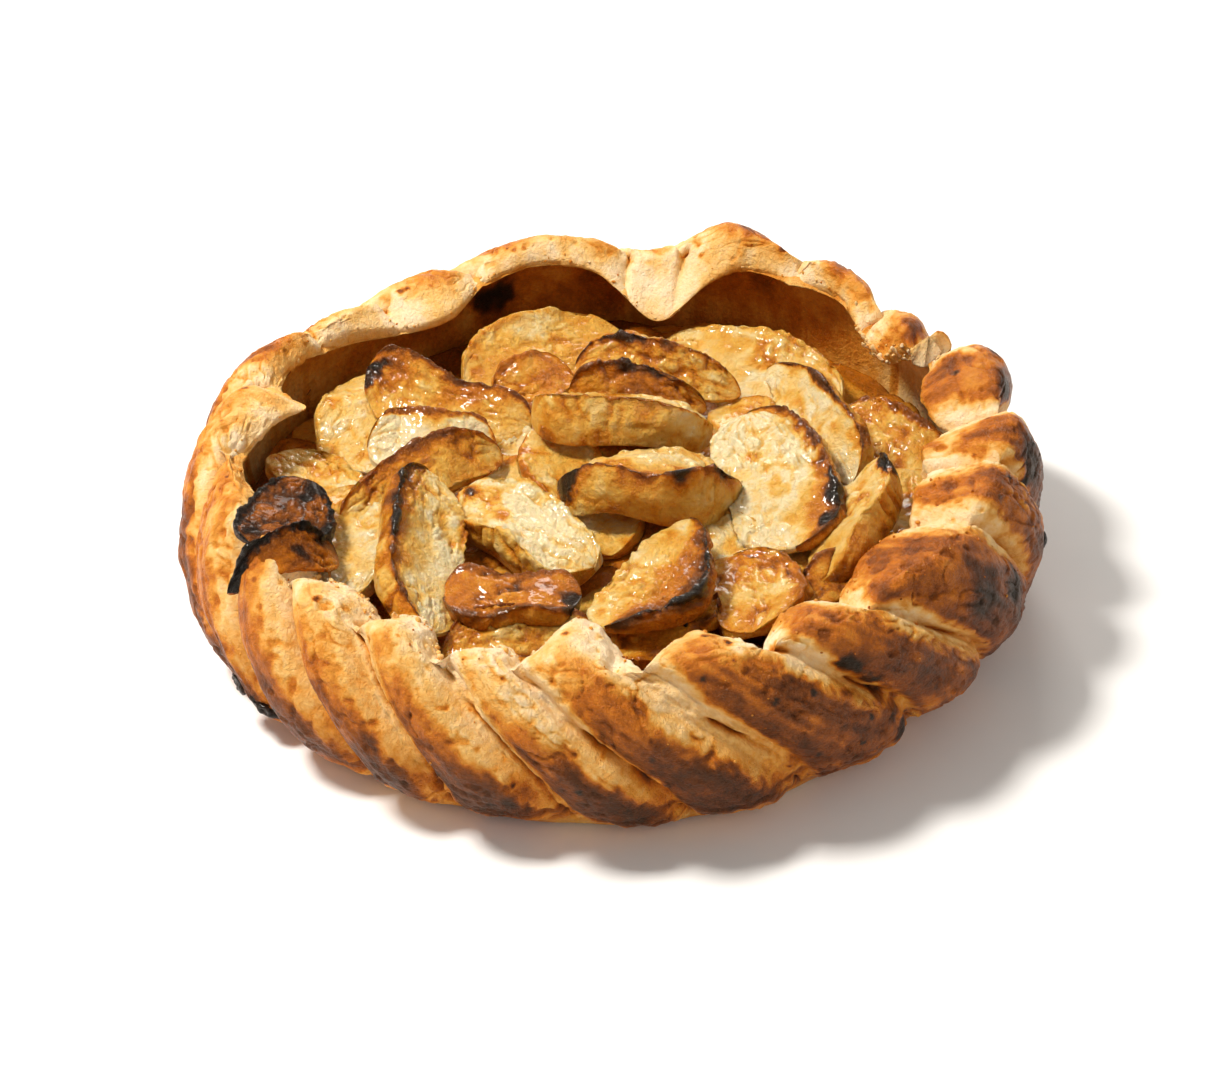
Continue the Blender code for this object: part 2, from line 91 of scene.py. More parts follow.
# The torn inner edge, as bell shapes on the ring: how far the dough reaches in, hangs down and is thicker
# there, and how far the crest behind it sinks in and down
Tear = namedtuple("Tear", "azimuth half_width reach drop thick sink")
TEARS = [
    Tear(79.5, 6.0, 10.0, 8.0, 0.0, 0.0),      # the tongue that sagged over the filling
    Tear(166.0, 2.2, 8.0, -0.5, -0.8, 0.0),   # the pointed tooth
    Tear(129.0, 11.0, 1.0, 0.5, 2.0, 0.0),    # the thick rolled stretch
    Tear(32.0, 3.0, 2.0, 3.0, 0.0, 0.0),      # the torn flap
    Tear(25.0, 2.6, 0.0, 0.0, 0.0, 6.5),      # the deep nick in the crest beside it
    Tear(262.0, 4.5, 0.0, -3.0, 0.0, 0.0),    # the tallest tip at the front
]

# Stations of the case's section, from the underside out, up, over the rim and down inside. RELIEF and TWIST:
# the share of a fold's relief there, and how far its crease has turned, 1 being mid height outside
STATIONS = ("under", "foot", "low", "bulge", "upper", "shoulder", "crest", "slope",
            "lip_top", "lip_low", "hollow", "inside", "inside_low", "corner")
RELIEF = (0.0, 0.06, 0.45, 0.9, 1.0, 1.0, 0.85, 0.55, 0.25, 0.15, 0.1, 0.0, 0.0, 0.0)
TWIST = (1.55, 1.5, 1.38, 1.08, 0.62, 0.22, 0.0, 0.0, 0.0, 0.0, 0.0, 0.0, 0.0, 0.0)
CASE_AROUND = 1280
CASE_STEPS = ((0, 1, 4), (1, 6, 118), (6, 8, 44), (8, 9, 10), (9, 11, 16), (11, 13, 12))   # from, to, steps
FOLD_RUN = 32.3         # mean length of rim that a fold takes
FOLD_LEVEL = 0.6        # height of a fold's back, from 0 to 1, that lies on the section itself
CASE_INSET = 1.5        # how far the skin is drawn in, so that its relief stays within the dough's size
SPLIT_DEPTH = 2.6       # of the crack that runs down each crease
SPLIT_WIDTH = 0.75
FLAKE_RELIEF = 1.15     # of the broken layers along the creases
FLAKES_BEFORE = 3.8     # how far they reach onto the fold before the crease
FLAKES_AFTER = 1.7      # and onto the fold after it
FOOT_LAYERS = 9.0       # height at which the dough's layers show round the foot
FLAP_AZIMUTH = 34.0     # of the torn flap, where the edge is flakiest

# How brown each part of the folds' backs is, round the case, in percent: 0 is raw dough, 50 caramel, 100
# charred. The columns are the azimuth, then the inner wall, the inner slope, the crest, and the upper, middle
# and lower outer wall.
BROWN_STATIONS = (10.5, 7.6, 6.0, 4.7, 3.4, 2.5)
# The inner wall's values, highest under the overhanging back lip from 48 to 150 degrees, are painted shade
# over the dough's own browning
BROWNING = [
    (0, 28, 55, 60, 74, 80, 70),
    (14, 22, 56, 64, 78, 82, 70),
    (24, 20, 46, 54, 70, 76, 70),
    (33, 26, 28, 46, 60, 68, 70),
    (48, 44, 25, 48, 60, 66, 70),
    (67, 54, 24, 48, 60, 66, 70),
    (81, 56, 20, 36, 54, 64, 70),
    (100, 57, 22, 44, 56, 64, 70),
    (122, 54, 26, 46, 56, 64, 70),
    (150, 38, 20, 40, 52, 62, 70),
    (172, 20, 16, 42, 54, 62, 68),
    (190, 18, 16, 40, 54, 64, 70),
    (208, 30, 10, 27, 46, 67, 80),
    (224, 44, 5, 16, 35, 69, 85),
    (240, 48, 5, 17, 38, 71, 88),
    (255, 48, 11, 24, 46, 77, 90),
    (270, 50, 20, 35, 56, 78, 88),
    (284, 50, 32, 50, 66, 79, 84),
    (300, 48, 40, 58, 72, 80, 76),
    (318, 46, 44, 60, 70, 80, 72),
    (335, 42, 46, 58, 70, 80, 72),
    (350, 36, 52, 59, 73, 82, 72),
]
CREASE_BROWN = (45, 5, 8, 15, 27, 44)      # the same columns, in the creases
# How far that paleness reaches, in mm, from the crease up onto the fold before it and the fold after it
PALE_BEFORE = (0.0, 7.0, 7.5, 7.5, 6.5, 3.5)
PALE_AFTER = (0.0, 5.0, 4.0, 3.0, 2.0, 1.4)
FOOT_BROWN = 0.40       # the lowest edge, which the tin kept from browning
SLOW_BROWN = 0.70       # past this, more heat browns the dough less

# Charred and dark spots: azimuth, station, radius in mm, strength
# The two spots at 107.5 and 110.5 degrees, on the inner wall under the back lip, are painted shade
SPOTS = [
    (292, 5.7, 3.0, 0.55), (283.5, 6.9, 2.2, 0.35), (286, 6.4, 1.4, 0.5), (301, 4.4, 3.2, 0.4),
    (304, 3.9, 2.6, 0.45), (306, 3.4, 3.4, 0.4), (309, 2.9, 3.0, 0.35), (311, 2.3, 3.8, 0.35),
    (326, 4.2, 7.0, 0.2), (334, 3.8, 8.0, 0.2), (352, 4.3, 2.2, 0.6), (8, 5.1, 6.0, 0.2),
    (18, 5.0, 7.0, 0.22), (356, 4.6, 7.0, 0.18), (107.5, 10.8, 4.6, 0.42), (110.5, 10.7, 4.8, 0.42),
    (127, 6.2, 1.4, 0.5), (30, 5.8, 4.0, 0.2), (66, 5.7, 5.0, 0.18), (184, 3.9, 1.6, 0.4),
    (262, 6.9, 1.1, 0.4), (12, 6.9, 1.2, 0.3), (347, 6.7, 1.3, 0.3), (273, 3.0, 3.5, 0.12),
    (257, 2.6, 4.0, 0.14),
]
SPECKS = 110            # small seeded spots besides


def ease(x):
    """A smooth step from 0 to 1."""
    x = np.clip(x, 0.0, 1.0)
    return x * x * (3.0 - 2.0 * x)


def bell(distance, width):
    """1 at no distance, falling off smoothly to 0 beyond this width."""
    return np.exp(-(distance / width) ** 2)


def turned(azimuth, start):
    """The shortest turn from one azimuth to another, from -180 to 180."""
    return (azimuth - start + 180.0) % 360.0 - 180.0


def lumps(points, size, seed):
    """Smooth seeded unevenness from -1 to 1 at points in a plane or in space, in lumps of this size."""
    cells = np.asarray(points, float) / size + 31.7 * seed
    low = np.floor(cells).astype(np.int64)
    part = ease(cells - low)
    total = np.zeros(cells.shape[:-1])
    for corner in itertools.product((0, 1), repeat=cells.shape[-1]):
        key = ((low + corner) * (73856093, 19349663, 83492791)[:cells.shape[-1]]).sum(-1) + 7919 * seed
        key = (key ^ (key >> 13)) * 60493 & 0x7FFFFFFF
        key = (key ^ (key >> 11)) * 19990303 & 0x7FFFFFFF
        total += np.prod(np.where(corner, part, 1.0 - part), -1) * (key / 0x3FFFFFFF - 1.0)
    return total


def uneven(points, *layers):
    """Lumps of several sizes on top of each other, each given as (strength, size, seed)."""
    return sum(strength * lumps(points, size, seed) for strength, size, seed in layers)


def furrows(points, size, wide, seed):
    """Narrow winding valleys: 1 along their bottoms, 0 between them. wide is a share of the size."""
    return np.clip(1.0 - np.abs(lumps(points, size, seed)) / wide, 0.0, 1.0)


def wavering(flat, solid, amount, size, seed):
    """Flat coordinates that waver by this amount, so that furrows laid out in them wind."""
    return flat + amount * np.stack([lumps(solid, size, seed), lumps(solid, size, seed + 1)], -1)


def fold_place(place):
    """(number of the fold, how far across it) of a place counted in folds around the ring."""
    number = np.floor(place).astype(int)
    return number % FOLD_COUNT, place - number


def blended(field, place):
    """A fold's value, blended smoothly from the middle of one fold to the middle of the next."""
    values = getattr(FOLDS, field)
    before, share = fold_place(np.asarray(place, float) - 0.5)
    share = ease(share)
    return values[before] * (1.0 - share) + values[(before + 1) % FOLD_COUNT] * share


def crease_azimuths(twist):
    """Azimuths of the creases, and of the first once more, turned by this much on their way down."""
    starts = FOLDS.lip + twist * (FOLDS.wall - FOLDS.lip)
    return np.append(starts, starts[0] + 360.0)


def azimuth_at(place, twist):
    """Azimuth of a place on the ring, where the creases have turned by this much."""
    starts = crease_azimuths(twist)
    number, across = fold_place(np.asarray(place, float))
    return starts[number] * (1.0 - across) + starts[number + 1] * across


def place_at(azimuth):
    """The place on the ring, counted in folds, of an azimuth at the rim's inner edge."""
    starts = crease_azimuths(0.0)
    return np.interp((azimuth - starts[0]) % 360.0 + starts[0], starts, range(len(starts)))


def ridge(place):
    """Height of the fold here, from 0 in a crease to 1 on its back."""
    number, across = fold_place(place)
    back = np.clip(across / (1.0 - FOLDS.gap[number]), 0.0, 1.0)
    return (4.0 * back * (1.0 - back)) ** 0.62


def lip_edge(place):
    """(radius, height, thickness, sink of the crest) of the rim's inner edge, with its scallops and tears."""
    number, across = fold_place(place)
    notch, next_notch = FOLDS.notch[number], FOLDS.notch[(number + 1) % FOLD_COUNT]
    scallop = np.sin(math.pi * across) ** 0.9
    radius = notch + (next_notch - notch) * ease(across)
    radius += (FOLDS.tip[number] - 0.5 * (notch + next_notch)) * scallop
    height = blended("height", place) - blended("drop", place) - 1.5 * (1.0 - scallop)
    thick = blended("thick", place)
    sink = np.zeros_like(radius)
    azimuth = azimuth_at(place, 0.0)
    for tear in TEARS:
        share = bell(turned(azimuth, tear.azimuth), math.sqrt(2.0) * tear.half_width)
        radius -= tear.reach * share
        height -= tear.drop * share
        thick += tear.thick * share
        sink += tear.sink * share
    return radius, height, thick, sink


def section(place):
    """Radii and heights of every station at these places: two arrays, place by station."""
    foot, bulge, crest, top = (blended(name, place) for name in ("foot", "bulge", "crest", "height"))
    lip, lip_z, thick, sink = lip_edge(place)
    crest, top = crest - sink, top - 0.5 * sink
    inside = bulge - WALL
    radii = [foot - 9, foot, foot + 0.66 * (bulge - foot), bulge, bulge - 0.12 * (bulge - crest),
             crest + 0.42 * (bulge - crest), crest, 0.5 * (crest + lip), lip, lip + 0.8,
             lip + 0.55 * (inside - lip), inside, inside - 1.0, inside - 7]
    heights = [0 * top, 1.6 + 0 * top, 0.17 * top, 0.45 * top, 0.72 * top,
               0.93 * top, top, 0.42 * top + 0.58 * lip_z + 1.5, lip_z, lip_z - thick,
               lip_z - thick + 0.5, 0.58 * top, 0.26 * top, FLOOR + 0 * top]
    return np.stack(radii, -1), np.stack(heights, -1)


def along_stations(values, where):
    """A smooth curve through the stations' values, read between them (Catmull-Rom)."""
    last = values.shape[-1] - 1
    i = min(int(where), last - 1)
    t = where - i
    a, b, c, d = (values[..., min(max(k, 0), last)] for k in (i - 1, i, i + 1, i + 2))
    return b + 0.5 * t * (c - a + t * (2 * a - 5 * b + 4 * c - d + t * (3 * (b - c) + d - a)))


class CaseSkin:
    """The case's skin as a grid, ring by place: positions in mm, outward directions, where on it each is."""

    def __init__(self):
        self.place = place_at(FOLDS.lip[0] + np.arange(CASE_AROUND) * 360.0 / CASE_AROUND)
        steps = [np.linspace(low, high, count, endpoint=False) for low, high, count in CASE_STEPS]
        self.station = np.append(np.concatenate(steps), CASE_STEPS[-1][1])
        radii, heights = section(self.place)
        stand_out = blended("relief", self.place) * (ridge(self.place) - FOLD_LEVEL)
        relief, twist = np.array(RELIEF), np.array(TWIST)
        number, across = fold_place(self.place)
        back = 1.0 - FOLDS.gap[number]
        to_end = np.clip(back - across, 0.0, 1.0)
        cracks = np.stack([across - 0.5 * (1.0 + back), across + 0.5 * (1.0 - np.roll(back, 1))])
        to_crack = np.take_along_axis(cracks, np.abs(cracks).argmin(0)[None], 0)[0]
        grids = []
        for where in self.station:
            r, z = along_stations(radii, where), along_stations(heights, where)
            ahead, behind = min(where + 0.05, len(STATIONS) - 1), max(where - 0.05, 0)
            run_r, run_z = (along_stations(curve, ahead) - along_stations(curve, behind)
                            for curve in (radii, heights))
            length = np.hypot(run_r, run_z)
            out_r, out_z = run_z / length, -run_r / length
            out = stand_out * max(0.0, float(along_stations(relief, where)))
            turn = float(along_stations(twist, where))
            wide = 0.8 * r * np.radians(azimuth_at(number + 0.999, turn) - azimuth_at(number, turn))
            grids.append((r + out * out_r, z + out * out_z, azimuth_at(self.place, turn), out_r, out_z,
                          wide * across, wide * to_end, wide * to_crack))
        (self.r, self.z, self.azimuth, self.out_r, self.out_z,
         self.start, self.end, self.crack) = (np.array(grid) for grid in zip(*grids))
        rise = np.hypot(np.diff(self.r, axis=0), np.diff(self.z, axis=0)).mean(1)
        self.run = np.concatenate([[0.0], np.cumsum(rise)])

    def points(self):
        """Positions in mm, ring by place by coordinate."""
        azimuth = np.radians(self.azimuth)
        return np.stack([self.r * np.cos(azimuth), self.r * np.sin(azimuth), np.maximum(self.z, 0.0)], -1)

    def push(self, amount):
        """Moves the skin outwards by this many mm."""
        self.r += amount * self.out_r
        self.z += amount * self.out_z

    def fold_grid(self):
        """Coordinates in mm that follow the folds: across them and along them."""
        across = np.broadcast_to(self.place * FOLD_RUN, self.r.shape)
        return np.stack([across, np.broadcast_to(self.run[:, None], self.r.shape)], -1)

    def smooth(self):
        """1 where the lip is soft, sagged dough, 0 elsewhere."""
        near = np.max([np.exp(-(turned(self.azimuth, middle) / half) ** 4) for middle, half in SMOOTH], 0)
        return near * self.share((6.2, 0.0), (7.0, 1.0), (10.0, 1.0), (11.0, 0.0))

    def nearest(self, azimuth, station):
        """(ring, place) of the skin's point at an azimuth and a station."""
        ring = int(np.argmin(np.abs(self.station - station)))
        return ring, int(np.argmin(np.abs(turned(self.azimuth[ring], azimuth))))

    def share(self, *stations_and_values):
        """A value for each ring, from (station, value) pairs."""
        stations, values = zip(*stations_and_values)
        return np.interp(self.station, stations, values)[:, None]


def case_detail(skin):
    """Pushes the dough's own relief into the skin, and gives back how deep in a furrow each point lies, which
    is painted as shade.
    """
    fold, solid = skin.fold_grid(), skin.points()
    rough = 1.0 - 0.92 * skin.smooth()
    # The folds' backs: dents, streaks along the folds, winding wrinkles, pits, and cracks here and there
    outside = skin.share((1, 0.0), (1.5, 1.0), (7.0, 1.0), (8.0, 0.6), (9.5, 0.35), (13, 0.2))
    back = ease((np.minimum(skin.start, skin.end) + 0.9 * lumps(solid, 3.0, 1)) / 2.4)
    dents = uneven(solid, (0.85, 15.0, 1), (0.42, 6.5, 2))
    streaks = 0.34 * lumps(fold / (1.0, 6.0), 3.4, 3) + 0.18 * lumps(fold / (1.0, 4.0), 1.5, 4)
    wavy = wavering(fold, solid, 1.5, 4.0, 20)
    wrinkles = ease(0.2 + 1.9 * lumps(solid, 13.0, 5)) * furrows(wavy / (2.0, 1.0), 2.9, 0.30, 6)
    lengthwise = ease(0.1 + 1.8 * lumps(solid, 14.0, 22)) * furrows(wavy / (1.0, 3.0), 2.6, 0.26, 23)
    pits = ease((lumps(solid, 2.4, 7) - 0.42) * 3.5)
    cracks = skin.share((5.8, 1.0), (6.6, 0.0)) * ease(1.7 * lumps(solid, 18.0, 10)) * (
        furrows(solid, 7.0, 0.08, 11))
    low = skin.share((1.2, 0.0), (1.6, 1.0), (3, 1.0), (4, 0.0))
    low = low * bell(skin.z - FOOT_LAYERS - 3.0 * lumps(solid, 16.0, 24), 6.0)
    layers = low * furrows(wavy / (6.0, 1.0), 2.4, 0.30, 25)
    grain = uneven(solid, (0.13, 1.2, 12), (0.10, 2.0, 26))
    furrow = back * (0.65 * wrinkles + 0.5 * lengthwise + 0.5 * pits) + 0.75 * cracks + 0.7 * layers
    skin.push(outside * (dents + rough * (back * (streaks + 0.45) - furrow + grain)))
    # The creases: broken layers on both sides, and a wandering split between them
    layered = skin.share((1, 0.0), (2, 1.0), (7.2, 1.0), (8.5, 0.4), (13, 0.0)) * rough
    scaly = bell(skin.end + lumps(solid, 6.0, 32), FLAKES_BEFORE) + 0.8 * bell(skin.start, FLAKES_AFTER)
    flakes = 0.50 * lumps(fold / (1.0, 4.0), 1.4, 8) + uneven(solid, (0.42, 1.6, 9), (0.25, 3.0, 33))
    split = bell(skin.crack + uneven(solid, (0.9, 6.0, 27), (0.45, 1.9, 28)), SPLIT_WIDTH) * (
        ease(0.85 + 1.7 * lumps(fold / (30.0, 1.0), 6.0, 13)))
    skin.push(layered * (np.minimum(scaly, 1.0) * FLAKE_RELIEF * flakes - SPLIT_DEPTH * split))
    # The torn inner edge
    torn = skin.share((7.2, 0.0), (8.0, 1.0), (9.0, 1.0), (10.0, 0.0)) * rough
    flaky = 1.0 + 0.8 * bell(turned(skin.azimuth, FLAP_AZIMUTH), 13.0)
    edge = 0.60 * lumps(fold / (1.0, 40.0), 4.2, 14) + 0.35 * lumps(fold / (1.0, 5.0), 1.9, 15)
    skin.push(torn * flaky * edge)
    skin.push(-CASE_INSET * skin.share((0.9, 0.0), (1.3, 1.0)))
    return outside * rough * furrow + layered * (0.15 * scaly * (flakes < -0.25) + 1.1 * split ** 2)


def case_browning(skin, furrow):
    """How brown the skin is, from 0 to 1, with painted shade in its furrows and on the inner wall under the
    back lip.
    """
    columns = range(len(BROWN_STATIONS))
    rows = np.array(BROWNING + [(360,) + BROWNING[0][1:]], float)[:, ::-1]
    backs = np.array([np.interp(skin.azimuth % 360.0, rows[:, -1], rows[:, k]) for k in columns])
    step = np.interp(skin.station, BROWN_STATIONS[::-1], columns)
    low = np.minimum(step.astype(int), len(columns) - 2)
    share = (step - low)[:, None]
    ring = np.arange(len(skin.station))
    back = backs[low, ring] * (1 - share) + backs[low + 1, ring] * share
    crease, before, after = (np.interp(step, columns, column[::-1])[:, None]
                             for column in (CREASE_BROWN, PALE_BEFORE, PALE_AFTER))
    crease, back = crease / 100.0, back / 100.0
    # The pale creases, with ragged edges, eat into the brown backs
    fold, solid = skin.fold_grid(), skin.points()
    station = skin.station[:, None]
    ragged = uneven(solid, (1.2, 9.0, 11), (0.9, 3.4, 12), (0.6, 1.4, 18))
    mask = 1.0 - 0.12 * ease(0.5 + lumps(solid, 5.0, 30)) * (station < 7)
    for distance, pale in ((skin.end, before), (skin.start, after)):
        mask *= ease((distance + ragged * (0.3 + 0.28 * pale) - 0.18 * pale) / (0.95 * pale + 0.8))
    brown = crease + (back - crease) * mask
    mottled = skin.share((0.9, 0.5), (2.0, 1.0), (7.0, 1.0), (8.5, 0.8), (10, 0.7))
    mottled = mottled * (0.5 + 0.5 * mask) * (1.0 - 0.6 * skin.smooth())
    streaky = skin.share((8.5, 1.0), (9.3, 0.15))
    brown += mottled * (uneven(solid, (0.15, 15.0, 13), (0.11, 6.5, 14), (0.07, 2.0, 19))
                        + 0.09 * lumps(fold / (1.0, 4.5), 2.4, 15) * streaky)
    foot = ease((9.5 + 3.5 * lumps(solid, 9.0, 16) - skin.z) / 3.5) * (station < 4)
    brown += foot * (FOOT_BROWN + 0.22 * lumps(fold / (3.0, 1.0), 8.0, 29) - brown) * 0.8
    # Painted shade: darker in the furrows, pits and cracks, and between the broken flakes
    brown += (0.12 + 0.28 * (1.0 - mask)) * np.clip(furrow, 0.0, 1.0)
    brown = np.where(brown > SLOW_BROWN, SLOW_BROWN + 0.45 * (brown - SLOW_BROWN), brown)
    draw = random.Random(5)
    specks = [(draw.uniform(0, 360), draw.uniform(2.2, 7.0), draw.uniform(0.4, 1.0), draw.uniform(0.12, 0.4))
              for _ in range(SPECKS)]
    for azimuth, at_station, radius, strength in SPOTS + specks:
        centre = solid[skin.nearest(azimuth, at_station)]
        near = np.abs(solid - centre).max(-1) < 2.0 * radius
        away = np.linalg.norm(solid[near] - centre, axis=-1) / (
            radius * (1.0 + 0.45 * lumps(solid[near], 0.6 * radius, 17)))
        brown[near] += strength * np.exp(-away ** 4)
    return np.clip(brown, 0.0, 1.0)


def linear(red, green, blue):
    """Linear light from a colour as a screen shows it, in steps of 255."""
    return tuple(((c / 255 + 0.055) / 1.055) ** 2.4 if c > 10 else c / 3294.6 for c in (red, green, blue))


def placed(name, data):
    """A new object in the scene."""
    made = bpy.data.objects.new(name, data)
    bpy.context.scene.collection.objects.link(made)
    return made


def closed_mesh(name, rings, value_name, value):
    """A smooth closed piece from rings of points in mm, with a named value from 0 to 1 at its points."""
    count, around = rings.shape[:2]
    start = np.arange(count - 1)[:, None] * around + np.arange(around)
    ahead = np.arange(count - 1)[:, None] * around + (np.arange(around) + 1) % around
    quads = np.stack([start, ahead, ahead + around, start + around], -1).reshape(-1, 4)
    last = (count - 1) * around
    faces = quads.tolist() + [list(range(around))[::-1], list(range(last, last + around))]
    mesh = bpy.data.meshes.new(name)
    mesh.from_pydata((rings.reshape(-1, 3) * MM).tolist(), [], faces)
    mesh.attributes.new(value_name, "FLOAT", "POINT").data.foreach_set(
        "value", np.asarray(value, np.float32).ravel())
    shell = bmesh.new()
    shell.from_mesh(mesh)
    bmesh.ops.recalc_face_normals(shell, faces=shell.faces)
    shell.to_mesh(mesh)
    shell.free()
    mesh.shade_smooth()
    return placed(name, mesh)


def fill(node, sockets):
    """Gives each of a node's sockets a fixed value, or joins another node's output to it."""
    for name, given in sockets.items():
        if isinstance(given, bpy.types.NodeSocket):
            node.id_data.links.new(given, node.inputs[name])
        else:
            node.inputs[name].default_value = given


def add(tree, kind, sockets, **settings):
    """A new node with these settings, and its sockets filled."""
    node = tree.nodes.new("ShaderNode" + kind)
    for name, value in settings.items():
        setattr(node, name, value)
    fill(node, sockets)
    return node


def speckle(tree, size, detail=3.0, rough=0.6):
    """Noise with features of this size in mm, from 0 to 1."""
    where = add(tree, "TexCoord", {}).outputs["Object"]
    return add(tree, "TexNoise", {"Vector": where, "Scale": 1.0 / (size * MM), "Detail": detail,
                                  "Roughness": rough}).outputs["Fac"]


def ramp(tree, factor, stops):
    """A colour or grey ramp over (position, colour) stops."""
    node = add(tree, "ValToRGB", {"Fac": factor})
    elements = node.color_ramp.elements
    while len(elements) < len(stops):
        elements.new(0.5)
    for element, (position, colour) in zip(elements, stops):
        element.position = position
        element.color = (*colour, 1.0) if isinstance(colour, tuple) else (colour, colour, colour, 1.0)
    return node.outputs["Color"]


def plain_finish(name, **fixed):
    """(material, its node tree, its shader) of a new Principled material with these fixed values."""
    material = bpy.data.materials.new(name)
    material.use_nodes = True
    shader = material.node_tree.nodes["Principled BSDF"]
    fill(shader, {socket.replace("_", " "): value for socket, value in fixed.items()})
    return material, material.node_tree, shader


def food_finish(name, heat, colours, gloss, mottling, relief, **fixed):
    """Baked food. Its colour and gloss follow a named value of the mesh, how much heat it had.

    mottling: noise, as speckle takes it, and how much it changes that value. relief: noise and depth in mm.
    """
    material, tree, shader = plain_finish(name, Specular_Tint=WARM_SHEEN, **fixed)
    had = add(tree, "Attribute", {}, attribute_name=heat).outputs["Fac"]
    had = add(tree, "Math", {0: had, 1: -0.5 * sum(strength for _, strength in mottling)}).outputs[0]
    for noise, strength in mottling:
        parts = {0: speckle(tree, *noise), 1: strength, 2: had}
        had = add(tree, "Math", parts, operation="MULTIPLY_ADD").outputs[0]
    sockets = {"Base Color": ramp(tree, had, colours), "Roughness": ramp(tree, had, gloss)}
    for noise, depth in relief:
        below = {"Normal": sockets["Normal"]} if "Normal" in sockets else {}
        bump = add(tree, "Bump", {"Height": speckle(tree, *noise), "Distance": depth * MM, **below})
        sockets["Normal"] = bump.outputs["Normal"]
    fill(shader, sockets)
    return material


WARM_SHEEN = (1.0, 0.82, 0.60, 1.0)     # the tint that butter and sugar give to their gloss
DOUGH_COLOURS = (
    (0.00, linear(251, 226, 188)), (0.12, linear(248, 212, 156)), (0.26, linear(241, 189, 108)),
    (0.40, linear(225, 149, 52)), (0.53, linear(194, 106, 20)), (0.66, linear(140, 70, 13)),
    (0.78, linear(90, 42, 9)), (0.89, linear(52, 28, 13)), (1.00, linear(24, 17, 13)),
)
# Floury and matt where pale, glossy with egg wash where brown, dull where charred
DOUGH_GLOSS = ((0.0, 0.72), (0.25, 0.52), (0.5, 0.33), (0.75, 0.32), (0.92, 0.38), (1.0, 0.45))
PASTRY = food_finish(
    "pastry", "brown", DOUGH_COLOURS, DOUGH_GLOSS,
    mottling=(((1.1, 4.0), 0.22), ((4.5,), 0.16)), relief=(((0.8, 5.0, 0.65), 0.6), ((2.6, 4.0, 0.7), 1.0)),
    Specular_IOR_Level=0.34, Subsurface_Weight=0.06, Subsurface_Scale=0.002)

case_skin = CaseSkin()
case_furrow = case_detail(case_skin)
case_brown_and_shade = case_browning(case_skin, case_furrow)
pastry_case = closed_mesh("pastry_case", case_skin.points(), "brown", case_brown_and_shade)
pastry_case.data.materials.append(PASTRY)
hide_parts("crust")
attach(pastry_case, "root")

# Crumbs and flakes of the pastry
# Where the dough split and tore, small crumbs broke from its layers and stuck to the lips and in the creases,
# and thin pale leaves of dough still stand on the torn edge at the back right.
# Each group: azimuths from and to, stations from and to, how many, radius in mm from and to, roast
CRUMBS = (
    (204, 262, 7.2, 8.4, 190, 0.30, 0.80, 0.20),
    (262, 350, 7.3, 8.3, 60, 0.25, 0.65, 0.40),
    (21, 40, 7.2, 8.8, 90, 0.30, 0.80, 0.16),
    (40, 204, 7.3, 8.3, 80, 0.25, 0.60, 0.26),
    (200, 350, 3.0, 6.8, 60, 0.22, 0.42, 0.48),
)
# Each leaf: azimuth, station, length and width in mm, how far it leans outwards from upright in degrees
LEAVES = (
    (22.5, 7.7, 2.6, 2.0, -20), (24.5, 7.6, 3.0, 2.2, -40), (26.5, 7.9, 3.2, 2.6, -60),
    (29.0, 7.8, 3.4, 2.4, -50), (31.5, 8.0, 3.8, 3.0, -70), (33.0, 7.8, 3.0, 2.2, -40),
    (35.0, 8.0, 3.6, 2.8, -65), (37.0, 7.9, 3.0, 2.4, -45), (233.0, 7.4, 2.6, 1.8, -30),
    (347.0, 7.8, 3.0, 2.2, -45), (205.5, 7.8, 3.0, 2.4, -50), (218.0, 7.9, 2.8, 2.0, -40),
    (247.0, 7.8, 2.6, 2.0, -35),
)
LEAF_RINGS = 18
LEAF_AROUND = 24
LEAF_THICK = 0.28       # half the leaf's thickness
LEAF_BROWN = 0.14       # nearly raw
CREASE_PULL = 8.0       # how far a crease draws the crumbs towards it


def crumb_cloud():
    """One mesh of small angular crumbs that lie on the case's skin."""
    draw = random.Random(12)
    shell = bmesh.new()
    tone = shell.verts.layers.float.new("brown")
    skin = case_skin.points()
    for start, end, low, high, count, small, large, roast in CRUMBS:
        for _ in range(count):
            ring = int(np.argmin(np.abs(case_skin.station - draw.uniform(low, high))))
            turn = turned(case_skin.azimuth[ring], draw.uniform(start, end))
            off_crease = np.minimum(np.abs(case_skin.crack[ring]), CREASE_PULL)
            seat = skin[ring, int(np.argmin(np.abs(turn) + draw.uniform(0.0, 0.4) * off_crease))]
            radius = small + (large - small) * draw.random() ** 2
            stretch = Vector([draw.uniform(0.6, 1.3) for _ in range(3)])
            shade = roast + draw.uniform(-0.14, 0.22)
            for vert in bmesh.ops.create_icosphere(shell, subdivisions=2, radius=radius)["verts"]:
                rough = 1.0 + 0.35 * float(lumps(np.array(vert.co) * 3.0 / radius + 9.0 * seat, 2.0, 34))
                vert.co = Vector(seat) + stretch * rough * vert.co + Vector((0.0, 0.0, 0.25 * radius))
                vert[tone] = shade + draw.uniform(-0.05, 0.05)
    mesh = bpy.data.meshes.new("pastry_crumbs")
    for vert in shell.verts:
        vert.co *= MM
    shell.to_mesh(mesh)
    shell.free()
    mesh.shade_smooth()
    return mesh


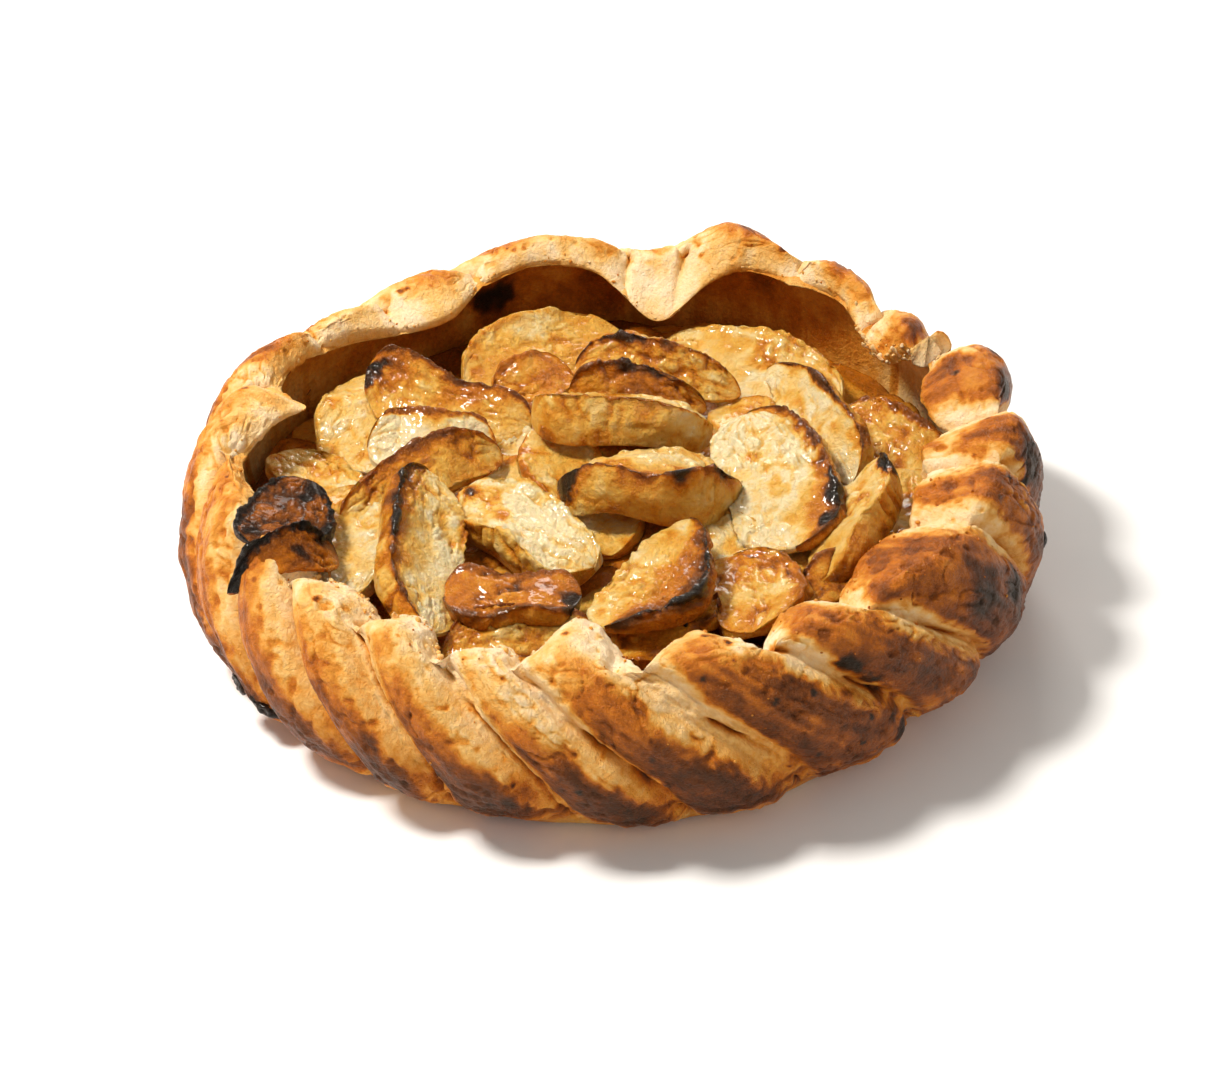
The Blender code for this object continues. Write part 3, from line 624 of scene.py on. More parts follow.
def leaf_rings(number, azimuth, station, long, wide, lean):
    """Rings of a thin curled leaf of dough that stands on the case's skin."""
    seat = case_skin.points()[case_skin.nearest(azimuth, station)]
    out = np.array([math.cos(math.radians(azimuth)), math.sin(math.radians(azimuth)), 0.0])
    side = np.array([-out[1], out[0], 0.0])
    t = np.linspace(-0.15, 1.0, LEAF_RINGS)[:, None]
    bend = math.radians(lean) + 0.9 * t
    rise, reach = (np.cumsum(part, 0) * long / LEAF_RINGS for part in (np.cos(bend), np.sin(bend)))
    turn = np.linspace(0.0, 2.0 * math.pi, LEAF_AROUND, endpoint=False)[None, :]
    swell = np.clip(1.0 - np.clip(t, 0.0, 1.0) ** 3, 0.02, 1.0) ** 0.5
    line = seat + out * reach + np.array([0.0, 0.0, 1.0]) * (rise - 0.6)
    ragged = lumps(np.stack(np.broadcast_arrays(4.0 * t, np.sin(turn) + 9.0 * number), -1), 1.3, 35)
    across = 0.5 * wide * swell * np.cos(turn) * (1.0 + 0.25 * ragged)
    through = (LEAF_THICK * np.sin(turn) + 0.35 * np.cos(2.0 * turn + number)) * swell
    return line[:, None] + side * across[..., None] + out * through[..., None]


crumbs = placed("pastry_crumbs", crumb_cloud())
leaves = [closed_mesh("pastry_leaf_%d" % number, leaf_rings(number, *leaf),
                      "brown", np.full((LEAF_RINGS, LEAF_AROUND), LEAF_BROWN))
          for number, leaf in enumerate(LEAVES)]
for loose in (crumbs, *leaves):
    loose.data.materials.append(PASTRY)
    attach(loose, "root")

# Apple heap under the slices that show
# Slices of apple fill the case to the brim and sank together in the oven. Only their upper sides and their
# edges show between the top slices, wet with browned juice, and the gaps between them carry painted shade.
# The heap rests on the case's floor.
HEAP_AROUND = 420
HEAP_GAP = 0.8          # between the heap and the case
HEAP_EDGE = 23.0        # height of the heap at the wall
HEAP_MIDDLE = 33.0      # height of the heap at the centre
HEAP_SHARES = np.concatenate([np.linspace(1.0, 0.04, 120), [0.015]])
HEAP_LUMPS = 1.6        # height of its chunks over the dome
SUNK_SLICES = 190
SUNK_REACH = 96.0       # radius within which they lie
SUNK_STAND = 2.2        # the most that one stands over the heap
# Between the sunk slices: browned juice, made darker still as painted shade in the gaps
GAP_JUICE_AND_SHADE_ROAST = 0.64      # browned juice between them
SIDE_ROAST = 0.5        # the heap's side, under the rim


def heap_top(x, y):
    """Height of the heap: a low dome with lumps the size of apple chunks."""
    dome = HEAP_EDGE + (HEAP_MIDDLE - HEAP_EDGE) * ease(1.15 - np.hypot(x, y) / 90.0)
    return dome + HEAP_LUMPS * (np.sin(x / 9.0 + 1.0) * np.cos(y / 8.0) + 0.5 * np.sin((x - y) / 6.0))


def sunk_slices(x, y, base):
    """(height, roast) of the heap's top with seeded slices that lie half sunk in it, one over another."""
    draw = random.Random(21)
    top, roast = base - HEAP_LUMPS, np.full_like(base, GAP_JUICE_AND_SHADE_ROAST)
    for _ in range(SUNK_SLICES):
        turn, out = draw.uniform(0.0, 2.0 * math.pi), SUNK_REACH * math.sqrt(draw.random())
        middle = out * math.cos(turn), out * math.sin(turn)
        lie = turn + math.pi / 2 + draw.gauss(0.0, 0.6)
        long, wide = draw.uniform(15.0, 22.0), draw.uniform(6.5, 10.5)
        lean, tilt, tone = draw.uniform(0.05, 0.28), draw.uniform(-0.06, 0.06), draw.uniform(0.26, 0.54)
        u = (x - middle[0]) * math.cos(lie) + (y - middle[1]) * math.sin(lie)
        v = -(x - middle[0]) * math.sin(lie) + (y - middle[1]) * math.cos(lie) + 0.012 * u * u - 1.5
        inside = 1.0 - (np.abs(u) / long) ** 2.6 - (np.abs(v) / wide) ** 2.6
        height = heap_top(*middle) - 0.4 + lean * v + tilt * u + 1.3 * np.clip(inside, 0.0, 1.0) ** 0.5
        higher = (inside > 0.0) & (height > top)
        top = np.where(higher, height, top)
        edge = np.exp(-np.clip(inside, 0.0, 1.0) * 7.0) * draw.uniform(0.05, 0.35)
        roast = np.where(higher, tone + edge, roast)
    return np.minimum(top, base + SUNK_STAND), roast


heap_azimuth = np.arange(HEAP_AROUND) * 360.0 / HEAP_AROUND
heap_way = np.stack([np.cos(np.radians(heap_azimuth)), np.sin(np.radians(heap_azimuth))], -1)
heap_radii, heap_heights = section(place_at(heap_azimuth))
inside, inside_low, corner = (heap_way * (heap_radii[:, [STATIONS.index(name)]] - HEAP_GAP)
                              for name in ("inside", "inside_low", "corner"))
heap_flat = HEAP_SHARES[:, None, None] * 0.985 * inside
heap_x, heap_y = heap_flat[..., 0], heap_flat[..., 1]
heap_z, heap_roast_and_shade = sunk_slices(heap_x, heap_y, heap_top(heap_x, heap_y))
heap_z += uneven(heap_flat, (0.35, 3.0, 31), (0.18, 1.3, 32))
side_z = np.stack([np.full(HEAP_AROUND, FLOOR + 0.4), heap_heights[:, STATIONS.index("inside_low")]])
heap_rings = np.dstack([np.concatenate([[corner, inside_low], heap_flat]), np.concatenate([side_z, heap_z])])
heap_roast_and_shade += 0.07 * lumps(heap_flat, 7.0, 33)
heap_roast_and_shade = np.concatenate([np.full((2, HEAP_AROUND), SIDE_ROAST), heap_roast_and_shade])

FLESH_COLOURS = (
    (0.00, linear(255, 233, 184)), (0.12, linear(253, 213, 134)), (0.25, linear(246, 188, 80)),
    (0.38, linear(230, 150, 36)), (0.50, linear(202, 114, 14)), (0.62, linear(150, 79, 11)),
    (0.75, linear(84, 41, 8)), (0.88, linear(34, 16, 7)), (1.00, linear(13, 8, 6)),
)
# Moist where pale, glazed with sugar where brown, dull where charred
FLESH_GLOSS = ((0.0, 0.42), (0.3, 0.34), (0.5, 0.24), (0.7, 0.24), (0.85, 0.28), (1.0, 0.34))


def apple_finish(name, coat, shine):
    """Roasted apple, a little see-through, with more or less of a coat of juice and of shine."""
    return food_finish(
        name, "roast", FLESH_COLOURS, FLESH_GLOSS,
        mottling=(((0.9, 4.0), 0.20), ((3.4,), 0.16)),
        relief=(((0.6, 4.0, 0.7), 0.85), ((1.8, 4.0, 0.65), 1.5)),
        Specular_IOR_Level=shine, Coat_Weight=coat, Coat_Roughness=0.07,
        Subsurface_Weight=0.16, Subsurface_Scale=0.003, Subsurface_Radius=(1.0, 0.5, 0.2))


heap = closed_mesh("apple_heap", heap_rings, "roast", heap_roast_and_shade)
heap.data.materials.append(apple_finish("juicy_apple", 0.30, 0.35))
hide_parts("filling_base")
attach(heap, "root")

# Top apple slices
# Peeled wedges of apple laid on the heap, each with a rounded outer side and a thin core side. Their edges
# dried, curled and browned, and the tips that stood highest burnt black.
# a, b: the ends of the long axis. The rounded outer side is on the left of a to b, seen from above.
# roll: turns the upper face towards the outer side. wide, thick: across, and through its outer side.
# curl: how far the ends rise. bow: how far the middle is pushed outwards. slim: thickness of the core side.
# blunt: from 0, pointed ends, to 1, square ends. taper: how much wider the b end is than the a end.
# Then how it roasted, in percent, from 0, cream, over 40, amber, to 100, charred: its flesh, its outer side,
# the upper edge of that side (rim), the thin core edge, and its two ends. halo: how far, in mm, the browning
# of an edge spreads. char: the stretch of the rim that burnt, from -1 at the a end to 1 at the b end.
# burns: spots, each the share along (-1 to 1), the share across from the core, radius in mm, and roast to 1
WHOLE_RIM = (-1.2, 1.2)
Slice = namedtuple("Slice", "name a b roll wide thick curl bow slim blunt taper "
                            "flesh outer rim core tip_a tip_b halo char burns", defaults=(4.0, WHOLE_RIM, ()))
SLICES = [Slice("slice_" + name, *shape, *(heat / 100.0 for heat in roast), *edges)
          for name, shape, roast, *edges in (
    ("centre_front", ((35, -14, 43), (-15, -13, 46), -9, 25, 19, -7, 2, 0.25, 0.3, 0.12),
     (20, 24, 76, 10, 56, 108), 6.0, (-0.9, -0.6), ((-0.30, 0.92, 2.4, 0.95), (-0.76, 0.90, 2.6, 0.92),
      (0.86, 0.75, 5.0, 1.0), (0.55, 0.55, 4.0, 0.55), (0.2, 0.9, 4.0, 0.58))),
    ("centre_mid", ((28, 15, 42.5), (-22, 22, 47.5), -18, 22, 16, -3, 2, 0.35, 0.6, 0.2),
     (22, 22, 62, 30, 74, 70), 3.5, (-1.0, -0.55), ((0.84, 0.35, 3.8, 0.95), (0.60, 0.55, 4.0, 0.58),
      (0.2, 0.3, 3.0, 0.5))),
    ("centre_back", ((-10, 52, 42), (37, 40, 38), -45, 17, 7, -4, 2, 0.4, 0.3, -0.2),
     (30, 36, 84, 16, 70, 10), 5.0, (-1.0, -0.2)),
    ("centre_nested", ((-12, 39, 41), (27, 34, 37), -52, 15, 8, -4, 2, 0.4, 0.5, -0.3),
     (46, 44, 72, 46, 60, 30), 5.0, (-0.5, 0.3), ((-0.20, 0.85, 2.6, 0.92), (0.15, 0.90, 1.8, 0.88),
      (0.0, 0.4, 7.0, 0.60))),
    ("front_leaf", ((21, -35, 45), (-2, -76, 41), -12, 29, 9, 2, 2, 0.3, 0.0, 0.2),
     (20, 38, 102, 12, 62, 80), 13.0, (-0.55, 0.95), ((0.0, 0.75, 8.0, 0.52), (0.72, 0.70, 5.0, 0.62))),
    ("right_broad", ((37, 16, 45), (47, -40, 39), -10, 32, 11, 0.5, -1, 0.5, 0.7, 0.15),
     (6, 40, 90, 12, 42, 66), 8.0, (0.2, 0.85), ((0.52, 0.90, 3.6, 1.0), (0.80, 0.80, 3.0, 0.98),
      (0.62, 0.75, 4.0, 0.5))),
    ("right_slim", ((46, 45, 42), (66, -8, 39), -32, 17, 11, -1, 3, 0.3, 0.2, 0.2),
     (10, 38, 74, 26, 55, 20), 4.0, (-1.0, 0.1)),
    ("right_tip", ((73, -8, 46), (52, -54, 36), -28, 21, 13, 1, 1, 0.3, 0.0, 0.2),
     (22, 38, 40, 24, 108, 35), 6.0),
    ("left_ridge", ((-48, -73, 40), (-50, -12, 49), -30, 24, 13, -1, 1, 0.3, 0.4, -0.15),
     (15, 20, 100, 12, 12, 76), 4.5, (-0.2, 0.9), ((0.0, 0.95, 4.0, 0.60), (0.35, 0.96, 4.5, 0.66),
      (0.62, 0.90, 4.5, 0.66), (0.30, 0.92, 1.8, 0.97), (0.72, 0.88, 2.4, 0.98), (-0.4, 0.95, 3.5, 0.48))),
    ("left_pale", ((-6, -47, 40), (-40, -11, 42), 10, 23, 12, -1, 1, 0.6, 0.6, 0.0),
     (4, 36, 30, 36, 34, 72), 3.0, WHOLE_RIM, ((0.86, 0.45, 3.2, 0.80), (0.20, 0.62, 1.7, 0.50))),
    ("front_brown", ((-9, -60, 41), (-45, -58, 41), 14, 19, 9, -1, 1, 0.4, 0.6, 0.0),
     (46, 50, 70, 64, 92, 74), 5.0),
    ("back_left", ((-23, 25, 36), (-69, 45, 45), 38, 25, 9, -1, 2, 0.5, 0.4, 0.1),
     (24, 28, 14, 70, 15, 84), 6.5, WHOLE_RIM, ((-0.15, 0.12, 6.0, 0.50), (0.72, 0.25, 4.0, 0.60),
      (0.94, 0.40, 5.0, 1.0))),
    ("mid_left_lower", ((-74, -22, 39), (-31, 9, 42), -30, 17, 9, -4, 3, 0.4, 0.4, 0.2),
     (32, 38, 66, 20, 30, 18), 4.0, (-0.3, 0.6), ((0.1, 0.92, 5.0, 0.56), (0.45, 0.90, 4.0, 0.60),
      (-0.35, 0.92, 4.0, 0.50))),
    ("mid_left_upper", ((-68, 15, 39), (-32, 14, 38), -25, 19, 8, -1, 1, 0.5, 0.8, -0.1),
     (4, 28, 62, 20, 42, 55), 4.0, WHOLE_RIM, ((0.0, 0.92, 3.0, 0.60),)),
    ("far_left", ((-71, -52, 36), (-67, -6, 39), 8, 28, 12, -1, 2, 0.5, 0.4, 0.0),
     (12, 34, 28, 30, 10, 45), 4.0, WHOLE_RIM, ((0.35, 0.8, 8.0, 0.36),)),
    ("burnt_tail", ((-99, -59, 48), (-71, -45, 48), -35, 15, 5, -12, 2, 0.5, 0.1, 0.4),
     (56, 80, 100, 46, 112, 66), 4.0),
    ("burnt_leaf", ((-82, -16, 48), (-93, -51, 52), 15, 23, 6, 1, 1, 0.5, 0.4, 0.1),
     (70, 80, 105, 98, 92, 70), 4.5),
    ("back_yellow", ((-42, 53, 30), (5, 78, 32), -18, 32, 10, 0, 3, 0.5, 0.5, 0.0),
     (18, 34, 40, 30, 24, 34), 5.0, WHOLE_RIM, ((0.5, 0.3, 8.0, 0.36), (-0.5, 0.5, 6.0, 0.34))),
    ("back_inner", ((-33, 44, 34), (-11, 54, 36), -15, 20, 8, 0, 1, 0.5, 0.6, 0.0),
     (42, 46, 56, 60, 40, 46), 5.0),
    ("back_right", ((13, 72, 31), (64, 34, 31), -15, 34, 10, 0, 3, 0.5, 0.6, 0.0),
     (20, 34, 32, 32, 20, 26), 5.0),
    ("far_right", ((64, 35, 31), (88, 2, 30), -12, 25, 10, 0, 2, 0.5, 0.4, 0.0),
     (34, 48, 66, 40, 36, 34), 5.0, (0.0, 0.4)),
    ("right_edge", ((84, 4, 32), (70, -36, 33), 5, 24, 10, 0, 2, 0.5, 0.3, 0.0),
     (28, 40, 36, 34, 36, 34), 5.0),
    ("left_big", ((-70, 9, 33), (-64, 57, 36), 12, 29, 11, 0, 3, 0.5, 0.5, 0.0),
     (17, 26, 26, 34, 24, 20), 4.0),
    ("left_low", ((-93, 20, 33), (-70, -17, 34), 5, 24, 9, 0, 2, 0.5, 0.4, 0.0),
     (18, 28, 26, 32, 24, 24), 4.0),
    ("left_edge", ((-72, -40, 33), (-83, 0, 33), 5, 22, 9, 0, 1, 0.5, 0.3, 0.0),
     (16, 28, 26, 30, 22, 24), 4.0),
    ("front_edge", ((-45, -73, 33), (-3, -72, 34), -25, 19, 10, -1, 1, 0.4, 0.5, 0.0),
     (34, 42, 66, 38, 55, 60), 5.0),
    ("front_right", ((32, -40, 37), (36, -76, 39), -8, 26, 9, 1, 2, 0.5, 0.6, 0.0),
     (35, 40, 60, 48, 56, 50), 6.0),
    ("right_under", ((34, -27, 32), (58, -46, 32), 5, 22, 9, 0, 1, 0.5, 0.4, 0.0), (24, 36, 34, 44, 35, 40)),
    ("front_pale", ((21, -22, 36), (33, -55, 34), 0, 26, 9, 0, 1, 0.5, 0.5, 0.0), (12, 28, 36, 32, 20, 36)),
    ("front_corner", ((44, -63, 36), (65, -46, 38), -20, 14, 8, 0, 1, 0.5, 0.3, 0.0),
     (48, 52, 62, 52, 56, 56)),
    ("front_low", ((-6, -72, 34), (22, -76, 36), -10, 18, 8, 0, 1, 0.5, 0.5, 0.0), (46, 50, 62, 52, 62, 62)),
    ("curl", ((19, -51, 37), (21, -70, 37), -10, 12, 7, 0, 1, 0.6, 0.5, 0.0), (44, 52, 68, 62, 66, 66)),
    ("centre_long", ((-21, 21, 38), (0, -34, 34), 5, 24, 9, 0, 1, 0.5, 0.3, 0.0), (22, 32, 50, 56, 34, 34)),
    ("centre_under", ((0, -25, 32), (24, -14, 32), 0, 20, 9, 0, 1, 0.5, 0.5, 0.0), (46, 52, 58, 58, 58, 58)),
    ("centre_cream", ((-37, 23, 33), (-15, 2, 33), 0, 20, 9, 0, 1, 0.5, 0.4, 0.0), (3, 20, 24, 24, 16, 16)),
    ("left_inner", ((-37, 14, 33), (-15, -18, 33), -5, 14, 8, 0, 1, 0.5, 0.3, 0.0), (28, 34, 42, 46, 34, 38)),
    ("gap_low", ((-47, -24, 31), (-31, -35, 31), 0, 16, 8, 0, 1, 0.5, 0.5, 0.0), (54, 58, 60, 60, 60, 60)),
    ("core_low", ((-17, 16, 35), (12, 20, 36), 0, 18, 8, 0, 1, 0.5, 0.4, 0.0), (42, 46, 60, 60, 60, 54)),
    ("mid_right_low", ((30, 38, 33), (49, 10, 33), 0, 20, 9, 0, 1, 0.5, 0.5, 0.0), (28, 36, 42, 42, 36, 36)),
)]
SKIN_STEP = 0.58        # between the points of a slice's skin
PRESS = 0.35            # gap where one slice lies on another
SLICE_RELIEF = 0.85     # scales the wrinkles
RIM_AT = 0.91           # share of the width, from the core side, where the rim runs
RIM_CHAR = 1.2          # how far in the char of a rim reaches, in mm
CORE_CHAR = 1.3         # the same of the core edge
TIP_CHAR = 22.0         # the same of a tip, for each 1 that its roast is over TIP_BURNS
TIP_BURNS = 0.58
EDGE_CURLS = 0.35       # roast from which an edge curls up, by EDGE_CURL mm for each 1 over it
EDGE_CURL = 1.5
SCORCHED = 0.60         # roast of the browned band along an edge, without its char
ALONG_EDGE = (1.0, 60.0)        # stretches lumps across the slice, so that they vary along its edges only
# The section of a slice: (share of the width from the core side, share of the thickness there)
SLICE_SECTION = ((0.0, -1.0), (0.5, -0.9), (0.93, -1.0), (1.0, 0.0), (0.94, 1.0), (0.85, 0.80), (0.5, 0.66),
                 (0.12, 0.8), (0.0, 1.0))


def wobble(seed, t):
    """A smooth seeded unevenness along a slice, between about -1 and 1."""
    draw = random.Random(seed)
    waves = [(draw.uniform(1.5, 4.5), draw.uniform(0.0, 6.3)) for _ in range(3)]
    return sum(np.sin(rate * t + start) for rate, start in waves) / 2.2


def slice_outline(width, thickness):
    """Points round a slice's section at even steps, with its corners barely rounded: across and through."""
    corners = np.array(SLICE_SECTION)
    size = (width, 0.5 * thickness)
    closed = np.vstack([corners, corners[:1]])
    runs = np.linalg.norm(np.diff(closed * size, axis=0), axis=1)
    reach = np.concatenate([[0.0], np.cumsum(runs)])
    count = int(reach[-1] / SKIN_STEP)
    at = np.arange(count) * reach[-1] / count
    points = np.stack([np.interp(at, reach, closed[:, k]) for k in (0, 1)], -1)
    for _ in range(2):
        points = 0.5 * points + 0.25 * (np.roll(points, 1, 0) + np.roll(points, -1, 0))
    return points


def slice_grid(piece):
    """(points in mm, outward directions, share along, across and through) of a slice, ring by point."""
    a, b = np.array(piece.a, float), np.array(piece.b, float)
    half = 0.5 * np.linalg.norm(b - a)
    along = (b - a) / (2.0 * half)
    left = np.cross((0.0, 0.0, 1.0), along)
    left /= np.linalg.norm(left)
    up = np.cross(along, left)
    seed = piece.name
    count = int(2.4 * half / SKIN_STEP)
    t = -np.cos(np.pi * (np.arange(count + 1) + 0.35) / (count + 0.7))[:, None]
    outline = slice_outline(piece.wide, piece.thick)
    across, through = outline[None, :, 0], outline[None, :, 1]
    roll = np.radians(piece.roll + 7.0 * wobble(seed + "twist", t))[..., None]
    face, outer = np.cos(roll) * up + np.sin(roll) * left, np.cos(roll) * left - np.sin(roll) * up
    blunt = np.clip(1.0 - np.abs(t) ** (2.1 + 4.0 * piece.blunt), 0.0, 1.0)
    edge = blunt ** 0.6 * (1.0 + piece.taper * t)
    out = piece.wide * edge * (0.58 + 0.07 * wobble(seed + "out", t))
    core = piece.wide * edge * (-0.42 + 0.07 * wobble(seed + "core", t))
    stops = [stop[0] for stop in SLICE_SECTION[:4]]
    swells = np.array([wobble(seed + str(stop), t[:, 0]) for stop in stops]).T
    bulge = np.array([np.interp(np.clip(outline[:, 0], 0, 1), stops, swell) for swell in swells])
    thick = piece.thick * (0.2 + 0.8 * blunt ** 0.5) * (1.0 + 0.16 * bulge) * (
        piece.slim + (1.0 - piece.slim) * across)
    sideways = core + across * (out - core) + piece.bow * (0.5 - t * t)
    lift = piece.curl * (t * t - 0.4) + 0.8 * wobble(seed + "lift", t)
    points = (0.5 * (a + b) + along * half * t[..., None] + outer * sideways[..., None]
              + face * (0.5 * through * thick + lift)[..., None])
    normal = np.cross(np.roll(points, -1, 1) - np.roll(points, 1, 1), np.gradient(points, axis=0))
    normal /= np.maximum(np.linalg.norm(normal, axis=-1, keepdims=True), 1e-9)
    normal *= np.sign(((points - points.mean(1, keepdims=True)) * normal).sum(-1).mean())
    return points, normal, *(np.broadcast_to(grid, points.shape[:2]) for grid in (t, across, through))


def dress_slice(piece):
    """(points, roast) of a slice with its wrinkles, curled rim, browning and painted shade in its wrinkles.
    """
    points, normal, t, across, through = slice_grid(piece)
    half = 0.5 * math.dist(piece.a, piece.b)
    flat = np.stack([half * t, piece.wide * across], -1) + 60.0 * SLICES.index(piece)
    outline = flat / ALONG_EDGE
    depth = 0.5 * piece.thick * (1.0 - through)
    noise = uneven(points, (0.9, 4.2, 50), (0.7, 1.7, 51))
    crisp, slow = lumps(points, 0.9, 61), lumps(points, 6.0, 62)
    # Each edge: the distance from it in mm, how it roasted, and how far in its char reaches
    rim = np.hypot((RIM_AT - across) * piece.wide, 1.5 * depth)
    core = np.hypot(across * piece.wide, depth * piece.slim)
    corner = np.hypot(0.7 * (across - 0.8) * piece.wide, 0.5 * depth)
    along_rim = ease((t - piece.char[0]) * 6.0 + 0.5) * ease((piece.char[1] - t) * 6.0 + 0.5)
    rim_char = RIM_CHAR * along_rim * (1.0 + 0.6 * lumps(outline, 5.0, 60))
    edges = [(rim, piece.rim, rim_char), (core, piece.core, CORE_CHAR)]
    edges += [(np.hypot(end * half, corner) + 2.6 * slow, tip, TIP_CHAR * max(tip - TIP_BURNS, 0.0))
              for end, tip in ((1.0 + t, piece.tip_a), (1.0 - t, piece.tip_b))]
    # Wrinkles in patches, an uneven outline, a shrivelled band along a browned rim, and curled up edges
    patch = ease(0.8 + 1.6 * lumps(points, 12.0, 52))
    warped = wavering(flat, points, 1.8, 4.2, 53)
    folds, fine = furrows(warped / (2.3, 1.0), 2.8, 0.34, 41), furrows(warped / (1.5, 1.0), 1.6, 0.42, 42)
    broad = uneven(points, (0.70, 9.5, 43), (0.42, 4.5, 44))
    relief = broad - patch * (0.85 * folds + 0.6 * fine) + 0.28 * lumps(points, 1.2, 55)
    shrivelled = 2.2 * max(piece.rim - 0.5, 0.0) * bell(rim, 1.1 * piece.halo)
    relief = relief - shrivelled * (0.8 * furrows(warped, 1.9, 0.5, 63) + 0.5 * fine)
    relief = relief + uneven(outline, (0.8, 4.0, 56), (0.5, 1.8, 57)) * bell(np.minimum(rim, core), 2.5)
    curl = uneven(flat / (1.0, 30.0), (0.9, 5.5, 45), (0.6, 2.2, 46)) + 0.4
    for distance, target, _ in edges[:2]:
        relief = relief + EDGE_CURL * max(target - EDGE_CURLS, 0.0) * bell(distance, 1.7) * curl
    ends = np.clip(4.0 * (1.0 - np.abs(t)), 0.15, 1.0) * (0.3 + 0.7 * ease(0.9 + through))
    points = points + normal * (SLICE_RELIEF * relief * ends)[..., None]
    # The flesh's own colour, mottled and browner on the outer side, darker underneath, with painted shade in
    # the wrinkles
    value = piece.flesh - 0.02 + (piece.outer - piece.flesh) * ease((across - 0.90) * 16.0)
    # Painted shade and highlight: low lumps and wrinkles darker, high lumps and crests lighter; juice browned
    # in the wrinkles too
    value = value + uneven(points, (0.13, 10.0, 47), (0.10, 4.0, 48), (0.06, 1.6, 49)) - 0.04 * broad
    value = value + patch * (0.19 * folds + 0.10 * fine - 0.07) + 0.10 * ease(-0.2 - 1.3 * through)
    blotch = ease((lumps(points, 7.0, 58) - 0.28) * 2.4) * ease((lumps(points, 2.6, 59) + 0.4) * 1.6)
    value = value + 0.24 * blotch
    # The edges: a brown halo that darkens towards them, and ragged char on what stood highest
    for distance, target, char_reach in edges:
        spread = piece.halo * max(target - 0.2, 0.0) / 0.8 + 0.6
        halo = 1.0 - ease((distance + (0.6 + 0.26 * piece.halo) * noise) / spread)
        scorch = np.minimum(target, SCORCHED + 0.15 * halo ** 2)
        value += halo * np.maximum(scorch + 0.07 * noise - value, 0.0)
        ragged_at = distance + 1.2 * noise + 0.9 * crisp
        char = 1.0 - ease((ragged_at - 0.42 * char_reach) / (0.34 * char_reach + 1.3))
        value += char * (target > SCORCHED) * (char_reach > 0.4) * np.maximum(target - value, 0.0)
    for spot_along, spot_across, radius, target in piece.burns:
        away = np.sqrt(((t - spot_along) * half) ** 2 + ((across - spot_across) * piece.wide) ** 2
                       + (0.5 * depth) ** 2) / (radius * (1.0 + 0.40 * noise))
        value += np.exp(-np.clip(away, 0.0, 9.0) ** 3) * np.maximum(target + 0.05 * noise - value, 0.0)
        value += bell(away, 1.5) * np.maximum(min(target, 0.48) - value, 0.0)
    return points, np.clip(value, 0.0, 1.0)


def settle(points, above):
    """Presses the slice down under those that lie on it: points inside one move to just below it."""
    for tree, low, high in above:
        near = ((points > low) & (points < high)).all(-1)
        for index in zip(*np.nonzero(near)):
            start = Vector(points[index])
            nearest, normal, _, _ = tree.find_nearest(start)
            if nearest is None or (start - nearest).dot(normal) > 0.0:
                continue
            exit_point, _, _, _ = tree.ray_cast(start, Vector((0.0, 0.0, -1.0)))
            if exit_point is not None:
                points[index][2] = exit_point.z - PRESS
    return points


APPLE = apple_finish("roasted_apple", 0.38, 0.35)
CHARRED = apple_finish("burnt_apple", 0.15, 0.2)
slices_above = []
for piece in SLICES:
    slice_points, slice_roast_and_shade = dress_slice(piece)
    slice_points = settle(slice_points, slices_above)
    wedge = closed_mesh("top_" + piece.name, slice_points, "roast", slice_roast_and_shade)
    faces = [tuple(face.vertices) for face in wedge.data.polygons]
    tree = BVHTree.FromPolygons([tuple(point) for point in slice_points.reshape(-1, 3)], faces)
    slices_above.append((tree, slice_points.min((0, 1)), slice_points.max((0, 1))))
    burnt = "burnt" in piece.name
    wedge.data.materials.append(CHARRED if burnt else APPLE)
    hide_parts(piece.name)
    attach(wedge, "root")

# Burnt scraps
# Bits of skin and boiled-over juice that charred: two on the outer wall at the front left, a blistered flake
# on the right wall, and a curled stalk by the front slice. They are stuck to what they lie on.
# Each: points along it, as azimuth and station on the case or as a place in mm, its width and thickness,
# and its roast in the middle and at the ends
SCRAPS = (
    (((207.8, 2.50), (209.0, 2.42), (210.4, 2.34), (211.8, 2.30)), 5.0, 3.0, 0.96, 0.88),
    (((213.0, 2.34), (214.6, 2.22), (215.8, 2.06), (217.0, 1.93)), 3.8, 2.2, 0.95, 0.88),
    (((352.4, 3.40), (350.8, 3.32), (349.4, 3.24), (347.8, 3.20)), 5.4, 2.4, 0.88, 0.96),
    (((12, -62, 42), (15, -65.5, 43), (17, -68, 41.5), (17.5, -71.5, 38.5)), 2.0, 1.6, 0.84, 1.0),
)
SCRAP_RINGS = 48
SCRAP_AROUND = 36


def scrap_rings(number, path, wide, thick):
    """Rings of a small crumpled scrap along these points, pinched at both ends."""
    skin = case_skin.points()
    path = [skin[case_skin.nearest(*spot)] if len(spot) == 2 else spot for spot in path]
    columns = np.array(path, float).T
    t = np.linspace(0.0, 1.0, SCRAP_RINGS)
    line = np.array([along_stations(columns, share * (len(path) - 1)) for share in t])
    run = np.gradient(line, axis=0)
    run /= np.linalg.norm(run, axis=1, keepdims=True)
    side = np.cross(run, line * (1.0, 1.0, 0.0))
    side /= np.linalg.norm(side, axis=1, keepdims=True)
    up = np.cross(side, run)
    turn = np.linspace(0.0, 2.0 * math.pi, SCRAP_AROUND, endpoint=False)
    out = side[:, None] * (0.5 * wide * np.cos(turn))[None, :, None] + up[:, None] * (
        0.5 * thick * np.sin(turn))[None, :, None]
    swell = (0.97 * (4.0 * t * (1.0 - t)) ** 0.45 + 0.03)[:, None]
    rings = line[:, None] + swell[..., None] * out
    rough = 0.75 * lumps(rings + 50.0 * number, 2.2, 70) + 0.5 * lumps(rings, 0.9, 71)
    return rings + (rough * swell)[..., None] * out / np.linalg.norm(out, axis=-1, keepdims=True)


